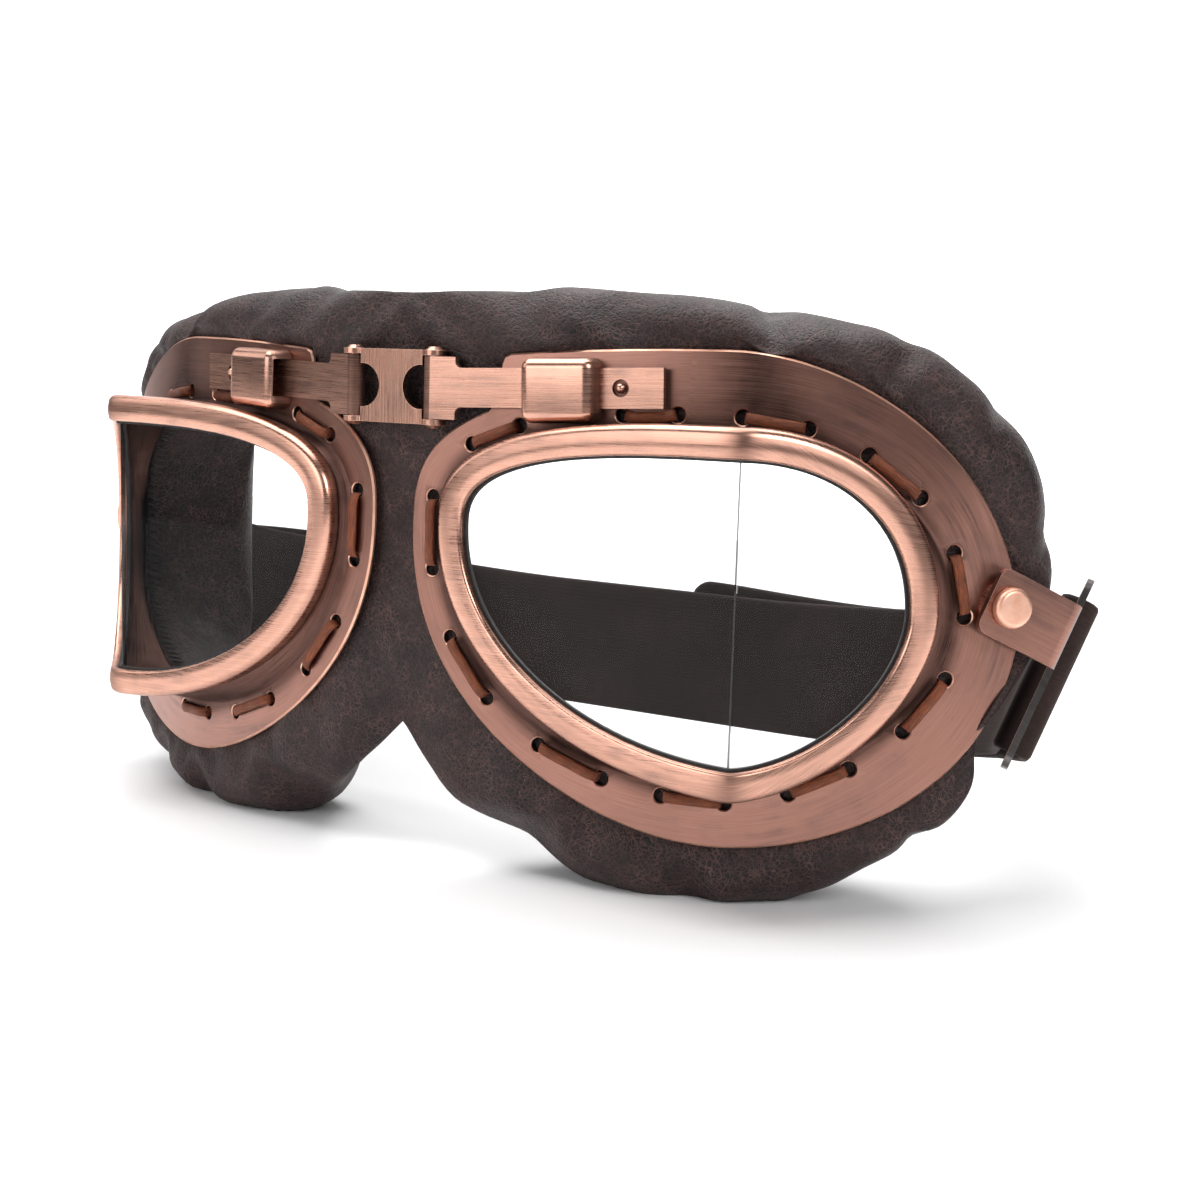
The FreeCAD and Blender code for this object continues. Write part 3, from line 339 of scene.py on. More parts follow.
class MeshDraft:
    """Vertices, faces, brush UVs and patina with painted shade of one piece, gathered on the bench before its
    mesh is made.
    """

    def __init__(self) -> None:
        """Start with nothing."""
        self.points: list[Array] = []
        self.patina: list[Array] = []
        self.faces: list[tuple[int, ...]] = []
        self.uvs: list[list[tuple[float, float]]] = []
        self.slots: list[int] = []
        self.count = 0

    def add_points(self, points: Array, patina: Array | float = 0.0) -> Array:
        """Add vertices.

        Args:
            points: bench points in any grid shape.
            patina: how dark each is from patina and painted shade, from 0 to 1.

        Returns:
            Their indices, in the grid's shape.
        """
        flat = np.asarray(points, float).reshape(-1, 3)
        shape = np.asarray(points).shape[:-1]
        self.points.append(flat)
        self.patina.append(np.broadcast_to(patina, shape).reshape(-1))
        index = np.arange(self.count, self.count + len(flat)).reshape(shape)
        self.count += len(flat)
        return index

    def add_face(self, corners: Sequence[int], uvs: Sequence[tuple[float, float]], slot: int = 0) -> None:
        """Add one face with a UV for each corner."""
        self.faces.append(tuple(int(c) for c in corners))
        self.uvs.append([(float(u), float(v)) for u, v in uvs])
        self.slots.append(slot)

    def add_grid(self, index: Array, uv: Array, slot: int = 0, flip: bool = False,
                 skip: Array | None = None) -> None:
        """Add the quads between neighbouring rows and columns.

        Args:
            index: vertex indices, rows by columns; a closed way round repeats its first row or column.
            uv: brush coordinates of each, rows by columns by 2.
            slot: material slot.
            flip: turn the faces over.
            skip: rows minus one by columns minus one, true where a quad is left out.
        """
        rows, columns = index.shape
        for r in range(rows - 1):
            for c in range(columns - 1):
                if skip is not None and skip[r, c]:
                    continue
                cells = [(r, c), (r, c + 1), (r + 1, c + 1), (r + 1, c)]
                if flip:
                    cells.reverse()
                self.add_face([index[k] for k in cells], [uv[k] for k in cells], slot)

    def build(self, name: str, bench: Bench, side: Side, materials: Sequence[Material],
              sharp: float = 40.0) -> Piece:
        """Make the piece's object.

        Args:
            name: the object's name.
            bench: carries the points into the frame.
            side: RIGHT mirrors the piece.
            materials: its material slots.
            sharp: edges over this angle, in degrees, stay sharp.

        Returns:
            The object, linked into the scene.
        """
        points = bench.to_frame(np.vstack(self.points), side)
        turn = -1 if side is Side.RIGHT else 1
        mesh = bpy.data.meshes.new(name)
        mesh.from_pydata(points.tolist(), [], [face[::turn] for face in self.faces])
        layer = mesh.uv_layers.new(name="brush")
        flat = [pair for face in self.uvs for pair in face[::turn]]
        layer.data.foreach_set("uv", np.array(flat, np.float32).ravel())
        patina = mesh.attributes.new("patina", "FLOAT", "POINT")
        patina.data.foreach_set("value", np.concatenate(self.patina).astype(np.float32))
        mesh.polygons.foreach_set("material_index", np.array(self.slots, np.int32))
        for material in materials:
            mesh.materials.append(material)
        return finished(name, mesh, sharp)


def linked(name: str, data: bpy.types.ID) -> Piece:
    """A new object of a mesh, a light or a camera, in the scene."""
    piece = bpy.data.objects.new(name, data)
    bpy.context.scene.collection.objects.link(piece)
    return piece


def smoothed(mesh: Mesh, sharp: float) -> Mesh:
    """Shade a mesh smooth, apart from edges over an angle in degrees."""
    mesh.polygons.foreach_set("use_smooth", np.ones(len(mesh.polygons), bool))
    mesh.set_sharp_from_angle(angle=math.radians(sharp))
    return mesh


def finished(name: str, mesh: Mesh, sharp: float) -> Piece:
    """Drop loose vertices, shade a mesh smooth up to an angle and link its object.

    Args:
        name: the object's name.
        mesh: its mesh, in place in the frame.
        sharp: edges over this angle, in degrees, stay sharp.

    Returns:
        The object.
    """
    bm = bmesh.new()
    bm.from_mesh(mesh)
    loose = [v for v in bm.verts if not v.link_faces]
    bmesh.ops.delete(bm, geom=loose, context="VERTS")
    bm.to_mesh(mesh)
    bm.free()
    return linked(name, smoothed(mesh, sharp))


def report(piece: Piece) -> None:
    """Log a finished piece."""
    LOG.info("%s: %d faces", piece.name, len(piece.data.polygons))


def dress(piece: Piece, body: str, node: str = "") -> None:
    """Give a rigid piece its body, hide the solid that it stands in for, and log it.

    Args:
        piece: the piece.
        body: the body it rides on.
        node: the solid it replaces, if there is one.
    """
    if node:
        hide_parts(node)
    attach(piece, body)
    report(piece)


class NodeBuilder:
    """A node tree, built a node at a time."""

    def __init__(self, tree: bpy.types.NodeTree) -> None:
        """Work on a tree."""
        self.tree = tree

    def link(self, source: Socket, target: Socket) -> None:
        """Join two sockets."""
        self.tree.links.new(source, target)

    def add(self, kind: str, inputs: dict | None = None, **settings: object) -> bpy.types.Node:
        """Add a node.

        Args:
            kind: its type.
            inputs: values or sockets for its inputs, by name or number.
            settings: its own properties.

        Returns:
            The node.
        """
        node = self.tree.nodes.new(kind)
        for key, value in settings.items():
            setattr(node, key, value)
        for key, value in (inputs or {}).items():
            self.feed(node.inputs[key], value)
        return node

    def feed(self, target: Socket, value: object) -> None:
        """Link a socket to an input or set its value."""
        if isinstance(value, Socket):
            self.link(value, target)
        else:
            target.default_value = value


class NodeSketch(NodeBuilder):
    """A material's nodes around one Principled shader."""

    def __init__(self, name: str) -> None:
        """Start an empty tree with its shader and output."""
        self.material = bpy.data.materials.new(name)
        self.material.use_nodes = True
        super().__init__(self.material.node_tree)
        self.tree.nodes.clear()
        output = self.add("ShaderNodeOutputMaterial")
        self.shader = self.add("ShaderNodeBsdfPrincipled")
        self.link(self.shader.outputs["BSDF"], output.inputs["Surface"])

    def shade(self, **inputs: object) -> None:
        """Set or link the shader's inputs; an underscore stands for a space."""
        for key, value in inputs.items():
            self.feed(self.shader.inputs[key.replace("_", " ")], value)

    def brush(self, along: float, across: float) -> Socket:
        """Brush UVs scaled by features a metre along and across the strokes."""
        uv = self.add("ShaderNodeUVMap", uv_map="brush")
        mapping = self.add("ShaderNodeMapping", {"Vector": uv.outputs["UV"], "Scale": (along, across, 1.0)})
        return mapping.outputs["Vector"]

    def place(self) -> Socket:
        """Object coordinates."""
        return self.add("ShaderNodeTexCoord").outputs["Object"]

    def noise(self, vector: Socket, scale: float, detail: float = 3.0,
              roughness: float = 0.55) -> Socket:
        """Noise from 0 to 1."""
        node = self.add("ShaderNodeTexNoise", {"Vector": vector, "Scale": scale, "Detail": detail,
                                               "Roughness": roughness})
        return node.outputs["Fac"]

    def spread(self, value: Socket, low: float, high: float, out_low: float = 0.0,
               out_high: float = 1.0) -> Socket:
        """A value's range from low to high carried to another range and clamped."""
        node = self.add("ShaderNodeMapRange", {"Value": value, "From Min": low, "From Max": high,
                                               "To Min": out_low, "To Max": out_high})
        return node.outputs["Result"]

    def math(self, operation: str, a: object, b: object = 0.0) -> Socket:
        """One arithmetic step."""
        return self.add("ShaderNodeMath", {0: a, 1: b}, operation=operation).outputs["Value"]

    def mix(self, share: object, first: object, second: object, blend: str = "MIX") -> Socket:
        """Two colours mixed by a share."""
        node = self.add("ShaderNodeMix", data_type="RGBA", blend_type=blend, clamp_result=True)
        for name, value in (("Factor_Float", share), ("A_Color", first), ("B_Color", second)):
            socket = next(s for s in node.inputs if s.identifier == name)
            self.feed(socket, (*value, 1.0) if isinstance(value, tuple) else value)
        return next(s for s in node.outputs if s.identifier == "Result_Color")

    def warped(self, vector: Socket, scale: float, reach: float) -> Socket:
        """Coordinates bent by noise, so that cells lose their straight sides."""
        drift = self.add("ShaderNodeTexNoise", {"Vector": vector, "Scale": scale, "Detail": 3.0})
        shift = self.add("ShaderNodeVectorMath", {0: drift.outputs["Color"], 1: (reach, reach, reach)},
                         operation="MULTIPLY")
        moved = self.add("ShaderNodeVectorMath", {0: vector, 1: shift.outputs["Vector"]}, operation="ADD")
        return moved.outputs["Vector"]

    def cell_edges(self, vector: Socket, scale: float) -> Socket:
        """Distance from the edges of a cell pattern."""
        return self.add("ShaderNodeTexVoronoi", {"Vector": vector, "Scale": scale},
                        feature="DISTANCE_TO_EDGE").outputs["Distance"]

    def attribute(self, name: str) -> Socket:
        """A number stored on the mesh."""
        return self.add("ShaderNodeAttribute", attribute_name=name).outputs["Fac"]

    def bump(self, height: Socket, strength: float, depth: float,
             under: Socket | None = None) -> Socket:
        """Normals from a height, over an earlier bump if there is one."""
        inputs = {"Height": height, "Strength": strength, "Distance": depth}
        if under is not None:
            inputs["Normal"] = under
        return self.add("ShaderNodeBump", inputs).outputs["Normal"]


@dataclass(frozen=True)
class Finish:
    """A named finish. Its patterns are sized in millimetres, and its relief in metres."""

    name: str

    def material(self) -> Material:
        """Make the finish's material."""
        sketch = NodeSketch(self.name)
        self.paint(sketch)
        return sketch.material

    def paint(self, s: NodeSketch) -> None:
        """Lay the finish's nodes, in each kind's own way."""
        raise NotImplementedError


@dataclass(frozen=True)
class BrushedCopper(Finish):
    """Antique copper brushed in fine strokes, darkened by patina and painted shade where it isn't rubbed."""

    name: str = "brushed_copper"
    light: Colour = (0.86, 0.50, 0.385)
    warm: Colour = (0.56, 0.285, 0.205)
    dark_patina_and_shade: Colour = (0.040, 0.021, 0.018)
    grey: Colour = (0.23, 0.155, 0.135)
    stroke_length: float = 11.0
    stroke_width: float = 0.11
    roughness: float = 0.27
    contrast: float = 0.75
    patches: float = 0.62
    dulling: float = 0.22
    relief: float = 0.00003

    def paint(self, s: NodeSketch) -> None:
        """Fine strokes in broad bands, grey patches, and the patina with painted shade over all."""
        along, across = 1000 / self.stroke_length, 1000 / self.stroke_width
        fine = s.noise(s.brush(along, across), 1.0, 5.0, 0.6)
        broad = s.noise(s.brush(along / 2, across / 8), 1.0)
        patch = s.noise(s.place(), 95.0, 4.0, 0.6)
        # How dark each point is from patina and painted shade.
        patina = s.attribute("patina")
        metal = s.mix(s.math("MULTIPLY", s.spread(fine, 0.26, 0.74), self.contrast), self.warm, self.light)
        greyed = s.math("MULTIPLY", s.spread(broad, 0.38, 0.66), s.spread(patch, 0.46, 0.66))
        metal = s.mix(s.math("MULTIPLY", greyed, self.patches), metal, self.grey)
        rubbed = s.spread(s.math("ADD", fine, patch), 0.55, 1.1, 1.25, 0.7)
        depth = s.spread(s.math("MULTIPLY", patina, rubbed), 0.02, 0.95)
        rough = s.spread(fine, 0.25, 0.75, self.roughness - 0.07, self.roughness + 0.10)
        tangent = s.add("ShaderNodeTangent", direction_type="UV_MAP", uv_map="brush").outputs["Tangent"]
        s.shade(Base_Color=s.mix(depth, metal, self.dark_patina_and_shade), Metallic=1.0, Anisotropic=0.45, Tangent=tangent,
                Roughness=s.math("ADD", rough, s.math("MULTIPLY", patina, self.dulling)),
                Normal=s.bump(fine, 0.18, self.relief))


@dataclass(frozen=True)
class RubbedHighlightEdge(Finish):
    """Copper rubbed bright along its edges; the brightness is partly a painted highlight on the rounded
    edges.
    """

    name: str = "rubbed_copper_edge"
    colour: Colour = (0.93, 0.56, 0.42)
    worn: Colour = (0.74, 0.38, 0.26)
    roughness: float = 0.38

    def paint(self, s: NodeSketch) -> None:
        """Bright metal, partly a painted edge highlight, in worn patches."""
        wear = s.noise(s.place(), 420.0, 4.0)
        s.shade(Base_Color=s.mix(s.spread(wear, 0.35, 0.7), self.colour, self.worn), Metallic=1.0,
                Roughness=s.spread(wear, 0.3, 0.7, self.roughness, self.roughness + 0.14))


@dataclass(frozen=True)
class CrackledLeather(Finish):
    """Dark brown leather with fine grain and reddish crackle."""

    name: str = "crackled_leather"
    dark: Colour = (0.0105, 0.0068, 0.0068)
    brown: Colour = (0.0270, 0.0165, 0.0155)
    vein: Colour = (0.120, 0.062, 0.054)
    vein_strength: float = 0.92
    grain: float = 0.72
    grain_depth: float = 0.00013
    crackle: float = 1.5
    crackle_depth: float = 0.00016
    roughness: float = 0.52

    def paint(self, s: NodeSketch) -> None:
        """Mottled brown under fine grain and wider cracks, both of them lined where the leather is rubbed."""
        place = s.place()
        cells = s.cell_edges(s.warped(place, 330.0, 0.0026), 1000 / self.grain)
        cracks = s.cell_edges(s.warped(place, 210.0, 0.0040), 1000 / self.crackle)
        mottle = s.noise(place, 70.0, 4.0, 0.6)
        rubbed = s.noise(place, 240.0, 4.0, 0.65)
        base = s.mix(s.spread(mottle, 0.34, 0.68), self.dark, self.brown)
        fine = s.spread(cells, 0.0, 0.11, 1.0, 0.0)
        fine = s.math("MULTIPLY", fine, s.spread(rubbed, 0.30, 0.66, 0.10, 0.75))
        line = s.spread(cracks, 0.0, 0.042, 1.0, 0.0)
        line = s.math("MULTIPLY", line, s.spread(rubbed, 0.34, 0.60, 0.15, 1.0))
        lined = s.math("MULTIPLY", s.math("MAXIMUM", line, fine), self.vein_strength)
        pebble = s.bump(s.spread(cells, 0.0, 0.34), 0.55, self.grain_depth)
        s.shade(Base_Color=s.mix(lined, base, self.vein), Specular_IOR_Level=0.27,
                Roughness=s.spread(mottle, 0.3, 0.7, self.roughness - 0.06, self.roughness + 0.09),
                Normal=s.bump(s.spread(cracks, 0.0, 0.10), 0.45, self.crackle_depth, pebble))


@dataclass(frozen=True)
class NappedElastic(Finish):
    """Dark brown elastic with fine lengthwise ribs and a soft nap."""

    name: str = "napped_elastic"
    dark: Colour = (0.016, 0.011, 0.010)
    brown: Colour = (0.036, 0.0225, 0.019)
    sheen: Colour = (0.55, 0.42, 0.36)
    rib: float = 0.8
    rib_depth: float = 0.16

    WAVE = 0.314

    def paint(self, s: NodeSketch) -> None:
        """Ribs under the nap, in a slightly uneven shade."""
        ribs = s.add("ShaderNodeTexWave", {"Vector": s.brush(1.0, 1.0), "Scale": 1000 * self.WAVE / self.rib,
                                           "Distortion": 0.6, "Detail": 2.0, "Detail Scale": 2.0},
                     wave_type="BANDS", bands_direction="Y").outputs["Fac"]
        nap = s.noise(s.brush(900.0, 2600.0), 1.0, 4.0, 0.65)
        shade = s.spread(s.noise(s.place(), 60.0), 0.3, 0.7, -0.15, 0.15)
        mixed = s.math("ADD", s.math("MULTIPLY", ribs, 0.5 * self.rib_depth), s.math("MULTIPLY", nap, 0.6))
        colour = s.mix(s.spread(s.math("ADD", mixed, shade), 0.25, 0.8), self.dark, self.brown)
        normal = s.bump(nap, 0.30, 0.00010, s.bump(ribs, self.rib_depth, 0.00008))
        s.shade(Base_Color=colour, Roughness=0.85, Normal=normal, Sheen_Weight=0.12, Sheen_Roughness=0.5,
                Sheen_Tint=(*self.sheen, 1.0), Specular_IOR_Level=0.25)


@dataclass(frozen=True)
class WaxedLace(Finish):
    """Rust-brown lace of many fine threads laid side by side."""

    name: str = "waxed_lace"
    dark: Colour = (0.050, 0.013, 0.006)
    rust: Colour = (0.270, 0.070, 0.024)
    threads: float = 15.0

    def paint(self, s: NodeSketch) -> None:
        """Fibres along the lace, in patches of wax."""
        fibres = s.noise(s.brush(420.0, self.threads), 1.0, 5.0, 0.65)
        patch = s.math("MULTIPLY", s.noise(s.place(), 600.0), 0.25)
        mixed = s.math("ADD", s.math("MULTIPLY", fibres, 0.75), patch)
        s.shade(Base_Color=s.mix(s.spread(mixed, 0.33, 0.64), self.dark, self.rust), Roughness=0.58,
                Normal=s.bump(fibres, 0.6, 0.00016), Sheen_Weight=0.04, Specular_IOR_Level=0.35)


@dataclass(frozen=True)
class ClearPane(Finish):
    """Clear lens, seen mostly by what it reflects, with a dark seam where it butts if that has a width."""

    name: str = "clear_pane"
    tint: Colour = (0.035, 0.038, 0.040)
    opacity: float = 0.05
    seam: Colour = (0.012, 0.010, 0.010)
    seam_width: float = 0.0
    seam_opacity: float = 0.85

    def paint(self, s: NodeSketch) -> None:
        """A clear, slightly smeared pane with its seam along the crease."""
        place = s.place()
        smear = s.noise(place, 45.0, 2.0)
        half = self.seam_width * MM / 2
        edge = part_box("left_front_pane")[1].x - half
        reach = s.math("ABSOLUTE", s.add("ShaderNodeSeparateXYZ", {"Vector": place}).outputs["X"])
        off = s.math("ABSOLUTE", s.math("SUBTRACT", reach, edge))
        seam = s.spread(off, 0.7 * half, half + 1e-6, 1.0, 0.0)
        s.shade(Base_Color=s.mix(seam, self.tint, self.seam), IOR=1.49,
                Roughness=s.spread(smear, 0.4, 0.8, 0.015, 0.05),
                Alpha=s.spread(seam, 0.0, 1.0, self.opacity, self.seam_opacity))


@dataclass(frozen=True)
class BlackRubber(Finish):
    """Matt black rubber of the lens gasket."""

    name: str = "black_rubber"
    colour: Colour = (0.012, 0.012, 0.013)
    dusty: Colour = (0.035, 0.034, 0.034)

    def paint(self, s: NodeSketch) -> None:
        """Black under a little dust."""
        dust = s.noise(s.place(), 900.0)
        s.shade(Base_Color=s.mix(s.spread(dust, 0.45, 0.8), self.colour, self.dusty),
                Roughness=s.spread(dust, 0.3, 0.7, 0.42, 0.6), Normal=s.bump(dust, 0.15, 0.00005))


@dataclass(frozen=True)
class DarkThread(Finish):
    """Near-black thread of the lining's overlock stitches."""

    name: str = "dark_thread"
    dark: Colour = (0.010, 0.008, 0.008)
    worn: Colour = (0.035, 0.022, 0.018)

    def paint(self, s: NodeSketch) -> None:
        """Twisted thread, worn lighter in places."""
        twist = s.noise(s.place(), 2500.0)
        s.shade(Base_Color=s.mix(s.spread(twist, 0.35, 0.7), self.dark, self.worn), Roughness=0.7,
                Normal=s.bump(twist, 0.4, 0.00006), Sheen_Weight=0.1)


class Finishes:
    """Every finish of the goggles, made once."""

    def __init__(self) -> None:
        """Make the materials."""
        self.copper = BrushedCopper().material()
        self.rim_copper = BrushedCopper("rim_copper", stroke_length=7.0, stroke_width=0.18).material()
        self.plate_copper = BrushedCopper(
            "plate_copper", light=(0.45, 0.240, 0.190), warm=(0.27, 0.130, 0.098), grey=(0.14, 0.090, 0.082),
            stroke_length=9.0, stroke_width=0.13, roughness=0.32).material()
        # Dark grey copper for the bracket's loop: a painted grey reflection on the same copper.
        self.steel = BrushedCopper(
            "dark_steel", light=(0.24, 0.22, 0.215), warm=(0.13, 0.115, 0.11), grey=(0.07, 0.065, 0.065),
            roughness=0.33).material()
        # The bright edge finish: rubbed copper with a painted highlight along rounded edges, hole rims and
        # rivets.
        self.edge = RubbedHighlightEdge().material()
        self.leather = CrackledLeather().material()
        self.elastic = NappedElastic().material()
        self.suede = NappedElastic("suede_strap_end", dark=(0.022, 0.0120, 0.0100),
                                   brown=(0.060, 0.032, 0.026), rib_depth=0.05).material()
        self.lace = WaxedLace().material()
        self.thread = DarkThread().material()
        self.pane = ClearPane().material()
        self.butted_pane = ClearPane("butted_pane", seam_width=0.34).material()
        self.rubber = BlackRubber().material()


@dataclass(frozen=True)
class LensRim:
    """Bezel over the collar: a skirt outside it and a crowned lip over the lens."""

    sheet: FoldedSheet = FoldedSheet()
    top: float = -3.5
    bottom: float = -55.1
    temple_level: float = -29.1
    powers: tuple[float, ...] = (2.8, 2.0, 1.77, 2.12)
    width: float = 4.4
    skirt: float = 2.6
    skirt_wall: float = 0.6
    lip: float = 1.4
    outer_round: float = 1.3
    inner_round: float = 0.6
    crown: float = 0.14
    stroke_closing: float = 0.9
    columns: int = 360
    round_steps: int = 6
    face_steps: int = 6
    sharp: float = 50.0
    # Painted dark reflection over the crease, a darker band along the face, and painted shade under the lip.
    crease_dark_reflection: float = 0.55
    crease_reach: float = 2.4
    under_lip_shade: float = 0.75
    face_band_darkening: float = 0.20
    face_place: float = 0.45
    face_reach: float = 0.8

    @property
    def loop(self) -> EggLoop:
        """The rim's outer edge."""
        return EggLoop(self.sheet.nose, self.sheet.temple, self.top, self.bottom, self.temple_level,
                       self.powers)

    def section(self) -> Array:
        """Corners of the rim's section as (growth, lift), from the skirt over the face to under the lip."""
        turns = np.linspace(0.0, math.pi / 2, self.round_steps + 1)
        shares = np.linspace(0.0, 1.0, self.face_steps + 1)[1:-1]
        start, end = -self.outer_round, -self.width + self.inner_round
        outer = self.outer_round * np.column_stack([np.cos(turns) - 1, np.sin(turns) - 1])
        face = np.column_stack([start + (end - start) * shares, self.crown * np.sin(math.pi * shares)])
        inner = self.inner_round * np.column_stack([-np.sin(turns), np.cos(turns) - 1]) + [end, 0.0]
        under = [(-self.width, -self.lip), (-self.skirt_wall, -self.lip), (-self.skirt_wall, -self.skirt)]
        return np.vstack([(0.0, -self.skirt), outer, face, inner, under])

    def _darkening(self, w: Array, growth: float, lift: float) -> Array:
        """Darkening along one row: a painted dark reflection in the crease, a darker band along the middle of
        the face, and painted shade under the lip.
        """
        crease = self.crease_dark_reflection * np.exp(-(w / self.crease_reach) ** 2)
        face = self.face_band_darkening * math.exp(-((growth + self.face_place * self.width) / self.face_reach) ** 2)
        under = self.under_lip_shade if lift <= -self.lip else 0.0
        return np.clip(crease + face + under, 0.0, 1.0)

    def build(self, bench: Bench, side: Side, finishes: Finishes) -> None:
        """Make the rim of one eyepiece."""
        draft = MeshDraft()
        fractions = np.arange(self.columns) / self.columns
        rows, uvs = [], []
        for growth, lift in self.section():
            w, z = self.loop.grown(growth).at(fractions).T
            rows.append(draft.add_points(self.sheet.place(w, z, lift), self._darkening(w, growth, lift)))
            closing = 1.0 + self.stroke_closing * smooth(w / self.sheet.temple)
            uvs.append(np.column_stack([w, (z - self.temple_level) * closing]) * MM)
        draft.add_grid(closed(closed(np.array(rows)), 1), closed(closed(np.array(uvs)), 1))
        piece = draft.build(side.prefix + "rim", bench, side, [finishes.rim_copper], self.sharp)
        dress(piece, side.prefix + "eye", side.prefix + "lens_rim")


@dataclass(frozen=True)
class HoleRow:
    """The row of lacing holes in a base plate, on a loop through their middles."""

    loop: EggLoop = EggLoop(nose=46.8, temple=34.4, top=-2.55, bottom=-58.1, temple_level=-30.6,
                            powers=(2.8, 2.14, 1.75, 2.03))
    radius: float = 1.15
    first: float = 32.3
    first_gap: float = 8.5
    nose_pitch: float = 10.9
    nose_gaps: int = 6
    temple_gaps: int = 13
    last: float = 16.0
    last_gap: float = 8.1

    def fractions(self) -> Array:
        """Fractions of the holes along their loop: none under the keeper."""
        start = self.first + self.first_gap
        nose = [self.first] + [start + self.nose_pitch * k for k in range(self.nose_gaps + 1)]
        end = self.loop.length + self.last - self.last_gap
        temple = np.linspace(nose[-1], end, self.temple_gaps + 1)[1:]
        return self.loop.fraction_at(np.array([*nose, *temple, end + self.last_gap]))

    def stations(self) -> Array:
        """Positions (w, z) of the holes."""
        return self.loop.at(self.fractions())


@dataclass(frozen=True)
class PlateStainAndShade:
    """Where a plate is darkened: patina round the collar's foot, darker along the collar's top over the lens,
    patina with a painted dark reflection over its crease, random clouds of patina, and painted shade on its
    back face.
    """

    cloud: float = 0.10
    cloud_scale: float = 0.07
    cloud_seed: float = 3.0
    foot: float = 0.85
    foot_reach: float = 1.5
    foot_wander: float = 1.1
    brow: float = 0.45
    brow_height: float = 14.0
    brow_reach: float = 5.5
    # Patina with a painted dark reflection over the crease.
    crease: float = 0.75
    crease_place: float = 4.0
    crease_width: float = 8.0
    crease_level: float = -12.0
    crease_height: float = 8.0
    crease_even: float = 0.8
    crease_wander: float = 0.6
    # Painted shade over the whole back face.
    back: float = 0.7

    def front(self, rows: Array) -> Array:
        """Patina and painted shade at positions (w, z), rows by columns from the collar's foot outwards."""
        w, z = np.moveaxis(rows, -1, 0)
        reach = np.linalg.norm(rows - rows[:1], axis=-1)
        scaled = rows * self.cloud_scale
        cloud = np.array([[noise.noise(Vector((*spot, self.cloud_seed))) for spot in row] for row in scaled])
        foot = self.foot * np.exp(-(reach / (self.foot_reach + self.foot_wander * cloud)) ** 2)
        brow = self.brow * smooth(z / self.brow_height + 1.0) * np.exp(-(reach / self.brow_reach) ** 2)
        crease = self.crease * np.exp(-((w - self.crease_place) / self.crease_width) ** 2)
        crease = crease * smooth((z - self.crease_level) / self.crease_height)
        crease = crease * (self.crease_even + self.crease_wander * cloud)
        return np.clip(foot + brow + crease + self.cloud * cloud, 0.0, 1.0)


